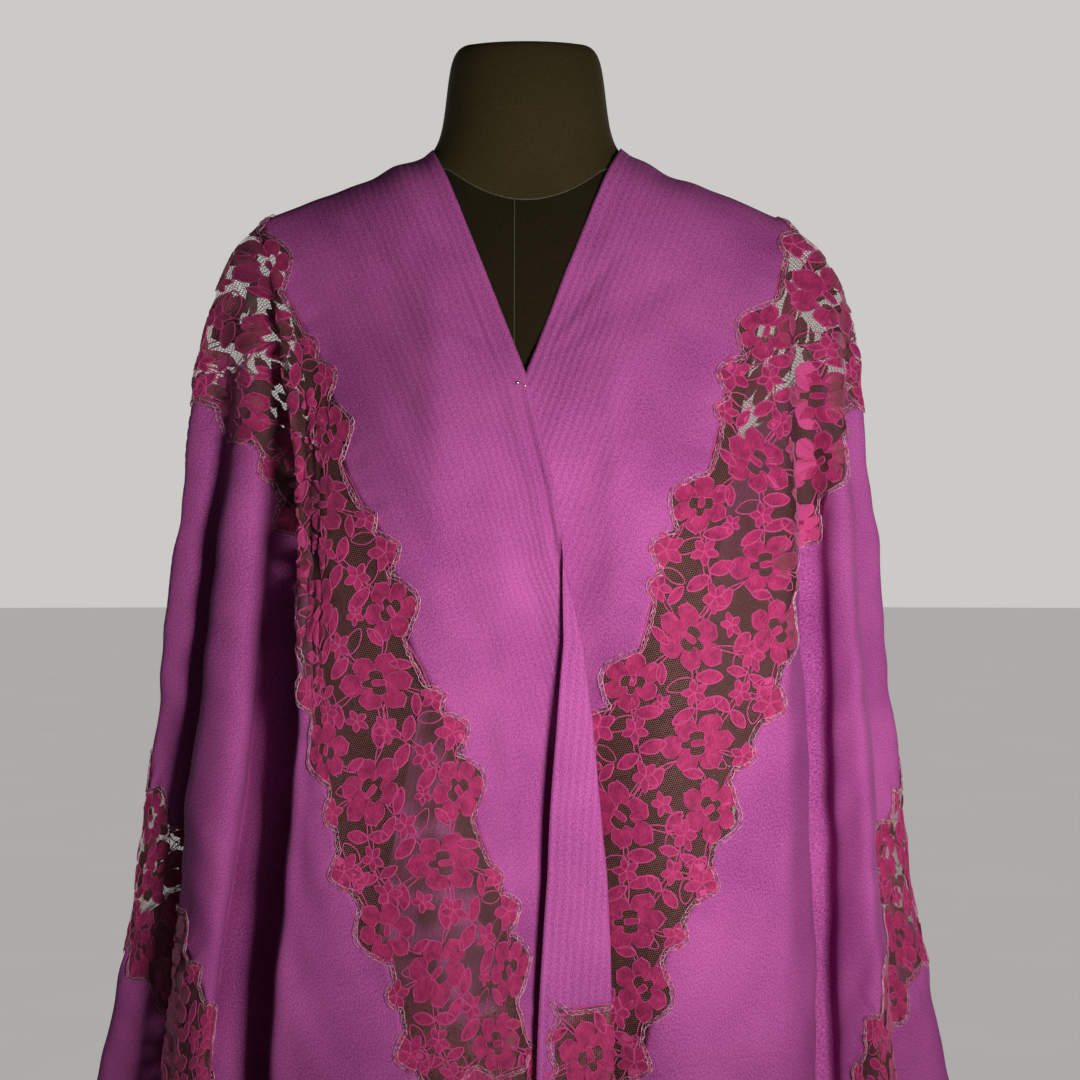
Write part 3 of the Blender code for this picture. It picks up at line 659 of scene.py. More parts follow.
def normals_of(points):
    """Outward unit normals of a grid of points."""
    along = np.gradient(points, axis=0)
    across = np.gradient(points, axis=1)
    normals = np.cross(along, across)
    return normals / np.linalg.norm(normals, axis=-1, keepdims=True)


def form_mesh():
    """The CAD form as one mesh, with its loose triangles joined up."""
    bm = bmesh.new()
    bm.from_mesh(frame["nodes"]["form_torso"].data)
    bmesh.ops.remove_doubles(bm, verts=bm.verts[:], dist=0.00001)
    return bm


def form_surface():
    bm = form_mesh()
    tree = BVHTree.FromBMesh(bm)
    bm.free()
    return tree


def hung_sheet():
    """Fine grid of the draped and creased shawl, clear of the form."""
    form_tree = form_surface()
    u, v = sheet_grid(HUNG_STEP)
    points = drape(settle(form_tree), u, v)
    points = points + normals_of(points) * creases(u, v)[..., None]
    return clear_of_form(points, form_tree, CLEARANCE)


HUNG = hung_sheet()


def hung_point(u, v):
    return read_sheet(HUNG, HUNG_STEP, u, v)


def lay_points(flat):
    """Places of flat-cut points, given as rows of u, v and h, on the hung sheet."""
    u = np.clip(flat[:, 0], -HALF_LENGTH, HALF_LENGTH)
    v = np.clip(flat[:, 1], 0.0, WIDTH)
    along = hung_point(u + NORMAL_REACH, v) - hung_point(u - NORMAL_REACH, v)
    across = hung_point(u, v + NORMAL_REACH) - hung_point(u, v - NORMAL_REACH)
    normal = np.cross(along, across)
    normal /= np.linalg.norm(normal, axis=-1, keepdims=True)
    return hung_point(u, v) + normal * flat[:, 2:3]


# ---------------------------------------------------------------- pieces

def finished(name, bm, material, nodes=(), sharp_from=None):
    """Make a piece from a mesh that is in place, riding on the root body."""
    mesh = bpy.data.meshes.new(name)
    bm.to_mesh(mesh)
    bm.free()
    mesh.materials.append(material)
    mesh.shade_smooth()
    if sharp_from is not None:
        mesh.set_sharp_from_angle(angle=math.radians(sharp_from))
    piece = bpy.data.objects.new(name, mesh)
    bpy.context.scene.collection.objects.link(piece)
    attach(piece, "root")
    if nodes:
        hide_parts(*nodes)
    return piece


def laid(name, bm, material, nodes=(), sharp_from=None):
    """Make a flat-cut piece, keep its flat places as its UV map, and lay it on the hung sheet."""
    sum(face.calc_area() for face in bm.faces)
    piece = finished(name, bm, material, nodes, sharp_from)
    mesh = piece.data
    flat = np.zeros(len(mesh.vertices) * 3)
    mesh.vertices.foreach_get("co", flat)
    flat = flat.reshape(-1, 3)
    corner = np.zeros(len(mesh.loops), dtype=np.int32)
    mesh.loops.foreach_get("vertex_index", corner)
    uv_map = mesh.uv_layers.new(name="flat")
    uv_map.data.foreach_set("uv", flat[corner, :2].ravel())
    mesh.vertices.foreach_set("co", lay_points(flat).ravel())
    mesh.update()
    return piece


# ---------------------------------------------------------------- flat cuts of the cloth

LONG_CELLS = 205
CELL = 0.004
CLOTH_WALL = 0.0008
CUT_UNDER = 4.0
END_SHAPING = 0.060
HALF_ROLL = 0.5 * math.pi * TURN_RADIUS
# least distance from the neck edge to the rows of the roll, at the turn and before it
EDGE_STRIP = (0.003, 0.025)


def seam_wave(along):
    return SEAM_WAVE * np.cos(2.0 * math.pi * along / SEAM_WAVE_PERIOD)


def neck_seam(edge, u):
    return edge + seam_wave(u)


def hem_seam(edge, u):
    return edge + seam_wave(u + HEM_WAVE_SHIFT)


def bulge_of(along, side):
    """How far the motifs on one edge of the band reach over the cloth, in mm; side is 0 or 1."""
    most = np.zeros_like(along)
    for motif in FLOWERS + STARS:
        centre, across, radius = motif[0], motif[1], 0.5 * motif[3]
        inward = across if side == 0 else DESIGN_WIDTH - across
        if inward > radius:
            continue
        away = (along - centre + 0.5 * REPEAT) % REPEAT - 0.5 * REPEAT
        petals = 1.0 + 0.07 * np.cos(away / radius * 5.0)
        reach = np.sqrt(np.maximum((radius * petals) ** 2 - away ** 2, 0.0)) - inward
        most = np.maximum(most, reach)
    return most


def cut_back(along, side):
    """How far the cloth is cut away under the motifs beyond the seam line, in metres."""
    places = np.arange(REPEAT, dtype=float)
    reach = np.maximum(bulge_of(places, side) - CUT_UNDER, 0.0)
    smooth = sum(np.roll(reach, shift) for shift in range(-4, 5)) / 9.0
    return np.interp(np.asarray(along) / MM, places, smooth * MM, period=REPEAT)


def neck_cut(side, u):
    """v at which the cloth ends at one side of the neck band."""
    return neck_seam(NECK_LACE[side], u) + (2 * side - 1) * cut_back(u + END_LACE[0], side)


def hem_cut(side, u):
    """v at which the cloth ends at one side of the hem band, whose design is turned over."""
    return hem_seam(HEM_LACE[side], u) + (2 * side - 1) * cut_back(u + END_LACE[0], 1 - side)


def rows_through(start, *stops):
    """Rows from a start through some stops, each given as its place and the cells up to it."""
    rows = [start]
    for place, cells in stops:
        rows += list(np.linspace(rows[-1], place, cells + 1))[1:]
    return rows


def border_rows(u):
    """v of the neck border's rows at one u, close together round the turned edge."""
    least = HALF_ROLL + lerp(*EDGE_STRIP, float(smooth_step((u + TURN_START_U) / 0.2)))
    line = max(float(turn_line(u)), least)
    near_end = abs(u) > END_LACE[0] - 0.02
    margin = MARGIN if near_end else min(MARGIN, 0.55 * (line - HALF_ROLL))
    return rows_through(0.0, (margin, 6), (line - HALF_ROLL, 8), (line + HALF_ROLL, 8),
                        (float(neck_cut(0, u)), 27))


def grid_place(value, cells):
    """Number of the grid line that a place from -1 to 1 lies on."""
    return round((value + 1.0) * 0.5 * cells)


def cut_panel(columns, rows_at):
    """A flat panel as a grid of cells: rows_at gives the v of its rows at one u."""
    bm = bmesh.new()
    rows = [rows_at(u) for u in columns]
    across = len(columns) - 1
    down = len(rows[0]) - 1
    bmesh.ops.create_grid(bm, x_segments=across, y_segments=down, size=1.0)
    for vert in bm.verts:
        column = grid_place(vert.co.x, across)
        vert.co = (columns[column], rows[column][grid_place(vert.co.y, down)], 0.0)
    bmesh.ops.recalc_face_normals(bm, faces=bm.faces[:])
    if bm.faces[0].normal.z < 0:
        bmesh.ops.reverse_faces(bm, faces=bm.faces[:])
    return bm


def trim_faces(bm, unwanted):
    """Cut away the faces whose flat middle is unwanted."""
    away = [face for face in bm.faces if unwanted(face.calc_center_median())]
    bmesh.ops.delete(bm, geom=away, context="FACES")


def long_columns(end):
    """u of the columns of a long piece, even and the same on both sides of its middle."""
    half = rows_through(0.0, (END_LACE[0], LONG_CELLS), (end, int((end - END_LACE[0]) / CELL)))
    return [-u for u in reversed(half[1:])] + half


def shape_end_seams(bm, side, cut=1.0):
    """Give a seam of the end lace its wave and cut; side is 0 next to the middle, 1 next to the end."""
    edge, outwards = END_LACE[side], 2 * side - 1
    for vert in bm.verts:
        u = abs(vert.co.x)
        share = 1.0 - (u - edge) * outwards / END_SHAPING
        if share < 0.0 or share > 1.0 + 1e-6:
            continue
        away = seam_wave(vert.co.y) + outwards * cut * cut_back(vert.co.y - MARGIN, side)
        vert.co.x = math.copysign(u + share * float(away), vert.co.x)


def cut_neck_border():
    bm = cut_panel(long_columns(END_LACE[1]), border_rows)
    trim_faces(bm, lambda c: abs(c.x) > END_LACE[0] and c.y > MARGIN)
    shape_end_seams(bm, 0)
    return bm


def cut_hem_border():
    def rows_at(u):
        return rows_through(float(hem_cut(1, u)), (WIDTH - MARGIN, 35), (WIDTH, 3))
    bm = cut_panel(long_columns(END_LACE[1]), rows_at)
    trim_faces(bm, lambda c: abs(c.x) > END_LACE[0] and c.y < WIDTH - MARGIN)
    shape_end_seams(bm, 0)
    return bm


def cut_field():
    def rows_at(u):
        return rows_through(float(neck_cut(1, u)), (float(hem_cut(0, u)), 58))
    bm = cut_panel(long_columns(END_LACE[0]), rows_at)
    shape_end_seams(bm, 0)
    return bm


def end_rows(u):
    """v of the rows of a shawl end, close together round the turned edge on the right."""
    line = float(turn_line(-abs(u)))
    return rows_through(0.0, (MARGIN, 3), (line - HALF_ROLL, 8), (line + HALF_ROLL, 8),
                        (WIDTH - MARGIN, 164), (WIDTH, 3))


def cut_end(side):
    """The cloth beyond the end lace; side is -1 on the wearer's right."""
    columns = sorted(side * u for u in np.linspace(END_LACE[1], HALF_LENGTH, 31))
    bm = cut_panel(columns, end_rows)
    shape_end_seams(bm, 1)
    return bm


def build_cloth(material):
    """The five wool pieces by name."""
    cuts = {
        "cloth_neck_border": cut_neck_border(),
        "cloth_field": cut_field(),
        "cloth_hem_border": cut_hem_border(),
        "cloth_end_right": cut_end(-1),
        "cloth_end_left": cut_end(1),
    }
    pieces = {}
    for name, bm in cuts.items():
        pieces[name] = laid("wool_" + name, bm, material, (name,))
        wall = pieces[name].modifiers.new("wall", "SOLIDIFY")
        wall.thickness = CLOTH_WALL
        wall.offset = 0.0
        wall.use_rim = True
    return pieces


# ---------------------------------------------------------------- the lace

NET_UNDER = 0.003
NET_LIFT = 0.0002
END_NET_LIFT = 0.0005
STITCH_INSET = 0.0024
STITCH_LIFT = 0.0014
SEWN_WIDTH = 0.0014
THREAD_RADIUS = 0.00036
PATH_STEP = 0.0005
FLOWER_EDGE = 20
END_BAND_OVERLAP = 0.004
MOTIF_LIFT = 0.0006
END_SCALLOP = 0.006
END_SCALLOP_LENGTH = 0.036
PAD_WALL = 0.30
RIM_RISE = 0.30
REPEAT = 130
DESIGN_WIDTH = 105

# one repeat of the lace, in mm: along the band, across it from the inner seam, turn in degrees,
# length, and breadth as a share of it
FLOWERS = (
    (24, 33, 75, 56, 0.82),
    (88, 70, -60, 55, 0.84),
    (66, 7, 20, 46, 0.96),
    (126, 95, 140, 49, 0.90),
)
STARS = (
    (104, 1, 0, 26, 1.0),
    (44, 103, 20, 27, 1.0),
    (122, 44, 10, 22, 0.9),
    (19, 80, 40, 22, 0.9),
    (57, 50, 5, 19, 1.0),
    (96, 26, 25, 20, 1.0),
    (45, 80, 12, 19, 0.9),
    (0, 3, 30, 19, 1.0),
    (84, 104, 50, 20, 1.0),
    (5, 60, 70, 17, 1.0),
    (72, 33, 15, 15, 0.9),
)
# petals of a flower: bearing, half its spread in degrees, and reach as a share of the flower's radius
PETALS = (
    (0, 33, 1.00),
    (62, 29, 0.93),
    (120, 29, 0.98),
    (180, 31, 0.94),
    (240, 29, 1.00),
    (298, 29, 0.91),
)
# a petal's edge: share of its half spread, share of its reach
PETAL_EDGE = ((0.0, 1.0), (0.14, 0.94), (0.42, 0.90), (0.70, 0.84), (0.91, 0.70), (1.0, 0.55))
# the three openings in a flower's middle: bearing from the first petal, reach as a share of the radius
OPENING_EDGE = (
    (0, 0.40), (13, 0.39), (25, 0.25), (44, 0.22), (60, 0.36), (90, 0.38),
    (120, 0.35), (143, 0.21), (180, 0.19),
)
# rings of a flower's wall from its outer foot to its inner foot:
# share of the way from the outer edge to the opening, distance inwards in mm, height in mm, cord
WALL_RINGS = (
    (0, 0.0, 0.00, 1.0),
    (0, 0.0, 0.30, 1.0),
    (0, 0.6, 0.62, 1.0),
    (0, 1.2, 0.34, 0.0),
    (1, -1.0, 0.34, 0.0),
    (1, -0.5, 0.50, 0.8),
    (1, 0.0, 0.30, 0.8),
    (1, 0.0, 0.00, 0.8),
)
VEIN_RISE = 0.22
VEIN_CORD = 0.7
VEIN_FOOT = 0.33
# leaves: along and across of the foot, turn of the tip, length, breadth
LEAVES = (
    (47, 45, 112, 21, 11), (49, 46, -48, 20, 10), (66, 56, 132, 19, 10), (66, 56, -28, 19, 10),
    (86, 19, 118, 21, 11), (88, 21, -38, 20, 10), (108, 34, 128, 21, 11), (110, 36, -42, 20, 10),
    (21, 66, 150, 19, 10), (22, 68, 38, 21, 11), (60, 79, -112, 17, 9), (58, 79, 62, 18, 9),
    (44, 92, 158, 19, 10), (44, 91, 22, 19, 10), (32, 81, 84, 17, 8), (31, 80, -80, 16, 8),
    (112, 55, -22, 19, 10), (117, 3, 78, 18, 9), (30, 101, -64, 17, 8), (26, 3, 66, 18, 8),
    (8, 12, 152, 17, 8), (96, 97, -100, 17, 8), (46, 18, 30, 17, 8), (106, 84, -75, 16, 8),
)
# stems: from along, across to along, across, how far they bow sideways, and how far the second
# cord stands off
STEMS = (
    (38, 39, 57, 50, 2.5, 3.6), (57, 50, 76, 62, -2.5, 3.6), (76, 12, 96, 26, 2.5, 3.4),
    (96, 26, 122, 44, -3.5, 4.0), (122, 44, 144, 38, 2.5, 3.4), (24, 50, 19, 80, 3.5, 4.0),
    (19, 80, 6, 90, -2.0, 2.8), (103, 78, 114, 89, 1.8, 2.6), (74, 77, 45, 80, 3.0, 3.8),
    (45, 80, 44, 103, 2.5, 3.4), (45, 80, 19, 80, -3.0, 3.6), (55, 13, 38, 22, 2.2, 3.0),
    (104, 62, 122, 44, 2.2, 3.2), (104, 1, 130, 3, -3.0, 3.6), (84, 104, 87, 86, 2.0, 2.8),
    (84, 104, 109, 100, 2.5, 3.2), (44, 103, 12, 99, 3.0, 3.6), (82, 4, 104, 1, 2.2, 3.0),
    (0, 3, 48, 3, -4.0, 3.4), (16, 20, 0, 3, 2.0, 2.8), (-8, 44, 10, 35, 2.0, 2.8),
)
CORD_RADIUS = 0.52
CORD_LIFT = 0.12
CORD_RISE = 0.35
STEM_STEPS = 12
OPEN_LEAF_EVERY = 4
# how far in mm a motif of an end may reach on to the cloth beside it
OVERHANG = 9.0


def pistil_outline(vert_x, vert_y, length, breadth):
    """A blunt tongue, from a unit circle's point."""
    full = math.copysign(abs(vert_y) ** 0.5, vert_y)
    return Vector((length * (0.5 + 0.5 * vert_x), 0.5 * breadth * full * (0.85 + 0.15 * vert_x), 0.0))


def leaf_outline(vert_x, vert_y, length, breadth):
    """A leaf with a point at each end, from a unit circle's point."""
    narrow = 1.0 - 0.35 * abs(vert_x) ** 2
    return Vector((length * (0.5 + 0.5 * vert_x), 0.5 * breadth * vert_y * narrow, 0.0))


def marked(bm, value, verts):
    """Mark how much of some points is raised cord, for the lace's colour."""
    layer = bm.verts.layers.float.get("cord") or bm.verts.layers.float.new("cord")
    for vert in verts:
        vert[layer] = value


def raised_pad(points, outline, length, breadth, rim=1.2, inner_rings=1):
    """A closed pad of lace with a raised rim; sizes in mm, lying on the net."""
    bm = bmesh.new()
    marked(bm, 1.0, ())
    bmesh.ops.create_circle(bm, cap_ends=True, segments=points, radius=1.0)
    for vert in bm.verts:
        vert.co = outline(vert.co.x, vert.co.y, length, breadth)
    top = bmesh.ops.extrude_face_region(bm, geom=bm.faces[:], use_keep_orig=True)["geom"]
    middle = [item for item in top if isinstance(item, bmesh.types.BMFace)]
    for face in middle:
        face.normal_update()
        if face.normal.z < 0:
            face.normal_flip()
        for vert in face.verts:
            vert.co.z += PAD_WALL
    rings = [(rim * 0.5, RIM_RISE, 1.0), (rim * 0.5, -0.8 * RIM_RISE, 0.0)]
    rings += [(breadth * 0.2, 0.0, 0.0)] * inner_rings
    for thickness, depth, cord in rings:
        bmesh.ops.inset_region(bm, faces=middle, thickness=thickness, depth=depth, use_even_offset=True,
                               use_boundary=True)
        marked(bm, cord, bm.verts if cord else [vert for face in middle for vert in face.verts])
    marked(bm, 0.0, bmesh.ops.poke(bm, faces=middle)["verts"])
    bmesh.ops.recalc_face_normals(bm, faces=bm.faces[:])
    return bm


def add_copy(target, source, matrix):
    """Add a copy of one flat piece to another, turned and placed by a matrix."""
    marked(target, 1.0, ())
    mesh = bpy.data.meshes.new("copy")
    source.to_mesh(mesh)
    mesh.transform(matrix)
    target.from_mesh(mesh)
    bpy.data.meshes.remove(mesh)


def placed(along, across, degrees, narrow=1.0, lift=0.0):
    return (Matrix.Translation((along, across, lift)) @ Matrix.Rotation(math.radians(degrees), 4, "Z")
            @ Matrix.Diagonal((1.0, narrow, 1.0, 1.0)))


def tube(points, radius, sides=3, rise=1.0):
    """A closed cord along a row of points, from a grid rolled round them; rise flattens it."""
    bm = bmesh.new()
    points = np.asarray(points, dtype=float)
    forward = np.gradient(points, axis=0)
    forward /= np.maximum(np.linalg.norm(forward, axis=1, keepdims=True), 1e-12)
    sideways = np.stack((-forward[:, 1], forward[:, 0], np.zeros(len(points))), axis=1)
    sideways /= np.maximum(np.linalg.norm(sideways, axis=1, keepdims=True), 1e-12)
    steps = len(points) - 1
    bmesh.ops.create_grid(bm, x_segments=steps, y_segments=sides, size=1.0)
    for vert in bm.verts:
        i = grid_place(vert.co.x, steps)
        turn = 2.0 * math.pi * (grid_place(vert.co.y, sides) / sides + 0.25)
        height = np.array((0.0, 0.0, rise * radius * math.sin(turn)))
        vert.co = Vector(points[i] + sideways[i] * radius * math.cos(turn) + height)
    bmesh.ops.remove_doubles(bm, verts=bm.verts[:], dist=radius * 0.01)
    bmesh.ops.holes_fill(bm, edges=[edge for edge in bm.edges if edge.is_boundary], sides=sides)
    bmesh.ops.recalc_face_normals(bm, faces=bm.faces[:])
    marked(bm, 1.0, bm.verts)
    return bm


def bowed(start, end, bow, steps):
    """Points of a stem that bows sideways between two places."""
    t = np.linspace(0.0, 1.0, steps + 1)
    start, end = np.array(start, dtype=float), np.array(end, dtype=float)
    run = end - start
    side = np.array((-run[1], run[0])) / np.linalg.norm(run)
    flat = start + run * t[:, None] + side * (4.0 * bow * t * (1.0 - t))[:, None]
    return np.column_stack((flat, np.full(steps + 1, CORD_LIFT)))


def petal_columns():
    """Bearings round a flower, with the reach of its outer edge and whether a vein lies there."""
    shares = [share for share, _ in PETAL_EDGE]
    columns = []
    for bearing, half, reach in PETALS:
        for t in [-share for share in shares[:0:-1]] + shares[:-1]:
            edge = reach * read_table(abs(t), PETAL_EDGE)
            columns.append((bearing + t * half, edge, abs(t) == 1.0))
    return columns


def flower_motif(size):
    """A ring of six joined petals with veins between them, round three openings and a pistil, in mm."""
    radius = 0.5 * size
    columns = petal_columns()
    around, rings = len(columns), len(WALL_RINGS)
    bm = bmesh.new()
    bmesh.ops.create_grid(bm, x_segments=around, y_segments=rings, size=1.0)
    layer = bm.verts.layers.float.new("cord")
    for vert in bm.verts:
        degrees, reach, vein = columns[grid_place(vert.co.x, around) % around]
        inner, inward, height, cord = WALL_RINGS[grid_place(vert.co.y, rings) % rings]
        if inner:
            reach = read_table(abs((degrees + 180.0) % 360.0 - 180.0), OPENING_EDGE)
        if vein and height > VEIN_FOOT:
            height += VEIN_RISE
        vert[layer] = max(cord, VEIN_CORD * vein)
        distance = radius * reach - inward
        turn = math.radians(degrees)
        vert.co = (distance * math.cos(turn), distance * math.sin(turn), height)
    bmesh.ops.remove_doubles(bm, verts=bm.verts[:], dist=0.001)
    bmesh.ops.recalc_face_normals(bm, faces=bm.faces[:])
    pistil = raised_pad(10, pistil_outline, radius * 0.42, radius * 0.26, rim=0.9, inner_rings=0)
    add_copy(bm, pistil, placed(-radius * 0.26, 0.0, 0, lift=0.1))
    pistil.free()
    return bm


def star_motif(size):
    """A small flower of five pointed petals, in mm."""
    bm = bmesh.new()
    for i in range(5):
        petal = raised_pad(8, leaf_outline, size * 0.52, size * 0.34, rim=1.0, inner_rings=0)
        add_copy(bm, petal, placed(0.0, 0.0, 72.0 * i, lift=0.1 * (i % 2)))
        petal.free()
    return bm


def open_leaf(length, breadth):
    """The outline of a leaf in cord, in mm."""
    turns = np.linspace(0.0, 2.0 * math.pi, 13)
    ring = [leaf_outline(math.cos(turn), math.sin(turn), length, breadth) for turn in turns]
    return tube(np.array(ring) + (0.0, 0.0, CORD_LIFT), CORD_RADIUS, rise=CORD_RISE)


def lace_motifs():
    """The pieces of one repeat of the floral lace, each in its place, flat and in mm."""
    shapes = []
    for along, across, degrees, size, narrow in FLOWERS:
        shapes.append((flower_motif(size), placed(along, across, degrees, narrow)))
    for along, across, degrees, size, narrow in STARS:
        shapes.append((star_motif(size), placed(along, across, degrees, narrow, lift=0.15)))
    for i, (along, across, degrees, length, breadth) in enumerate(LEAVES):
        is_open = i % OPEN_LEAF_EVERY == 1
        leaf = open_leaf(length, breadth) if is_open else raised_pad(12, leaf_outline, length, breadth)
        shapes.append((leaf, placed(along, across, degrees, lift=0.05)))
    for shape, matrix in shapes:
        shape.transform(matrix)
    return [shape for shape, _ in shapes] + lace_stems()


def lace_stems():
    """The paired cords between the motifs of one repeat."""
    stems = []
    for from_along, from_across, to_along, to_across, bow, gap in STEMS:
        for each in (bow, bow - math.copysign(gap, bow)):
            path = bowed((from_along, from_across), (to_along, to_across), each, STEM_STEPS)
            stems.append(tube(path, CORD_RADIUS, rise=CORD_RISE))
    return stems


def lace_repeat(motifs):
    bm = bmesh.new()
    for motif in motifs:
        add_copy(bm, motif, Matrix.Identity(4))
    return bm


def whole_motifs(motifs, length):
    """Repeats of the lace from 0 to a length, with no motif cut; flat and in metres."""
    bm = bmesh.new()
    for i in range(-1, int(math.ceil(length / (REPEAT * MM))) + 1):
        place = Matrix.Diagonal((MM, MM, MM, 1.0)) @ Matrix.Translation((i * REPEAT, 0, 0))
        for motif in motifs:
            along = [vert.co.x + i * REPEAT for vert in motif.verts]
            if min(along) > -OVERHANG and max(along) < length / MM + OVERHANG:
                add_copy(bm, motif, place)
    return bm


def band_of_lace(repeat, length, flipped=False):
    """Repeats of the lace side by side, from 0 to a length, flat and in metres."""
    bm = bmesh.new()
    count = int(math.ceil(length / (REPEAT * MM))) + 1
    for i in range(-1, count):
        place = Matrix.Translation((i * REPEAT, 0, 0))
        if flipped:
            place = Matrix.Translation((0, DESIGN_WIDTH, 0)) @ Matrix.Diagonal((1, -1, 1, 1)) @ place
        add_copy(bm, repeat, Matrix.Diagonal((MM, MM, MM, 1.0)) @ place)
    if flipped:
        bmesh.ops.reverse_faces(bm, faces=bm.faces[:])
    for plane_at, direction in ((0.0, 1), (length, -1)):
        slice_across(bm, (plane_at, 0, 0), (direction, 0, 0), clear_inner=True)
    return bm


def slice_across(bm, place, direction, clear_inner=False):
    """Cut edges and faces along a plane, and leave out what is behind it if asked."""
    everything = bm.verts[:] + bm.edges[:] + bm.faces[:]
    bmesh.ops.bisect_plane(bm, geom=everything, dist=1e-7, plane_co=place, plane_no=direction,
                           clear_inner=clear_inner)


def spaced_along(points, step):
    """The same path with its points an even distance apart."""
    run = np.concatenate(([0.0], np.cumsum(np.linalg.norm(np.diff(points, axis=0), axis=1))))
    places = np.arange(0.0, run[-1], step)
    return np.stack([np.interp(places, run, points[:, k]) for k in range(points.shape[1])], axis=1)


def set_heights(bm, height):
    for vert in bm.verts:
        vert.co.z = height


def band_net(cut_at):
    """Net of a long band, cut so that it runs under the cloth at both seams."""
    def rows_at(u):
        return rows_through(float(cut_at(0, u)) - NET_UNDER, (float(cut_at(1, u)) + NET_UNDER, 31))
    bm = cut_panel(long_columns(END_LACE[0]), rows_at)
    shape_end_seams(bm, 0, cut=0.0)
    set_heights(bm, NET_LIFT)
    return bm


def band_flowers(repeat, seam, edges, flipped):
    """Motifs of a long band, which wave with its seams."""
    bm = band_of_lace(repeat, LONG, flipped)
    stretch = (edges[1] - edges[0]) / (DESIGN_WIDTH * MM)
    for vert in bm.verts:
        vert.co.x -= END_LACE[0]
        vert.co.y = float(seam(edges[0], vert.co.x)) + vert.co.y * stretch
        vert.co.z += MOTIF_LIFT
    return bm


def band_stitches(seam, edges, flipped):
    """Stitches along both seams of a long band, round the motifs."""
    along = np.arange(0.0, LONG, PATH_STEP)
    u = along - END_LACE[0]
    stitches = []
    for side in (0, 1):
        reach = bulge_of(along / MM, 1 - side if flipped else side) * MM
        v = seam(edges[side], u) + (2 * side - 1) * (reach - STITCH_INSET)
        stitches.append(sewn_edge(np.column_stack((u, v))))
    return joined(stitches)


def lace_piece(name, net, flowers, stitches, materials):
    """One lace piece: its net, and the flowers and stitches that are sewn on it."""
    flower_look, net_look, thread_look = materials
    ground = laid("net_" + name, net, net_look, (name,))
    return ground, [
        laid("flowers_" + name, flowers, flower_look, sharp_from=FLOWER_EDGE),
        laid("stitches_" + name, stitches, thread_look),
    ]


def build_lace(*materials):
    """The four lace pieces by name; the materials are those of flowers, net and thread."""
    motifs = lace_motifs()
    repeat = lace_repeat(motifs)
    bands = {
        "lace_neck_band": (neck_seam, neck_cut, NECK_LACE, False),
        "lace_hem_band": (hem_seam, hem_cut, HEM_LACE, True),
    }
    pieces = {}
    for name, (seam, cut_at, edges, flipped) in bands.items():
        flowers = band_flowers(repeat, seam, edges, flipped)
        stitches = band_stitches(seam, edges, flipped)
        pieces[name] = lace_piece(name, band_net(cut_at), flowers, stitches, materials)
    for name, side in (("lace_end_right", -1), ("lace_end_left", 1)):
        flowers = end_flowers(side, motifs)
        pieces[name] = lace_piece(name, end_net(side), flowers, end_stitches(side), materials)
    for bm in motifs + [repeat]:
        bm.free()
    return pieces


def joined(parts):
    bm = bmesh.new()
    for part in parts:
        add_copy(bm, part, Matrix.Identity(4))
        part.free()
    return bm


def sewn_edge(path):
    """Two wavering cords with whip stitches across them, along an edge; path is rows of u and v."""
    rng = np.random.default_rng(len(path))
    rows = []
    for offset, step in ((SEWN_WIDTH, 0.0021), (-SEWN_WIDTH, 0.0023)):
        even = spaced_along(path, step)
        side = sideways_of(even) * (offset + rng.normal(0.0, 0.00035, len(even)))[:, None]
        rows.append(tube(np.column_stack((even + side, np.full(len(even), STITCH_LIFT))), THREAD_RADIUS))
    even = spaced_along(path, 0.0019)
    to_and_fro = np.where(np.arange(len(even)) % 2 == 0, 1.0, -1.0)
    swing = to_and_fro * rng.uniform(0.4, 1.35, len(even)) * SEWN_WIDTH
    lift = STITCH_LIFT + rng.uniform(-0.0001, 0.0003, len(even))
    rows.append(tube(np.column_stack((even + sideways_of(even) * swing[:, None], lift)), THREAD_RADIUS))
    return joined(rows)


def sideways_of(points):
    """Unit steps square to a flat path."""
    forward = np.gradient(points, axis=0)
    forward /= np.maximum(np.linalg.norm(forward, axis=1, keepdims=True), 1e-9)
    return np.stack((-forward[:, 1], forward[:, 0]), axis=1)


def spread_end_net(bm):
    """Widen the net of an end so that it passes under the cloth at both of its seams."""
    middle, half = 0.5 * (END_LACE[0] + END_LACE[1]), 0.5 * (END_LACE[1] - END_LACE[0])
    for vert in bm.verts:
        share = (abs(vert.co.x) - middle) / half
        reach = NET_UNDER + float(cut_back(vert.co.y - MARGIN, 0 if share < 0 else 1))
        vert.co.x = math.copysign(abs(vert.co.x) + share * reach + float(seam_wave(vert.co.y)), vert.co.x)


def end_net(side):
    """Net across one end of the shawl; side is -1 on the wearer's right."""
    bm = cut_panel(sorted(side * u for u in np.linspace(END_LACE[0], END_LACE[1], 29)), end_rows)
    trim_faces(bm, lambda c: c.y < MARGIN or c.y > WIDTH - MARGIN)
    spread_end_net(bm)
    set_heights(bm, END_NET_LIFT)
    return bm


def end_flowers(side, motifs):
    """Whole motifs across one end of the shawl."""
    bm = whole_motifs(motifs, WIDTH - 2.0 * MARGIN)
    stretch = (END_LACE[1] - END_LACE[0]) / (DESIGN_WIDTH * MM)
    for vert in bm.verts:
        v = vert.co.x + MARGIN
        vert.co.x = side * (END_LACE[0] + float(seam_wave(v)) + vert.co.y * stretch)
        vert.co.y = v
        vert.co.z += MOTIF_LIFT
    if side > 0:
        bmesh.ops.reverse_faces(bm, faces=bm.faces[:])
    else:
        slice_at_roll(bm)
        turn_over(bm)
    return bm


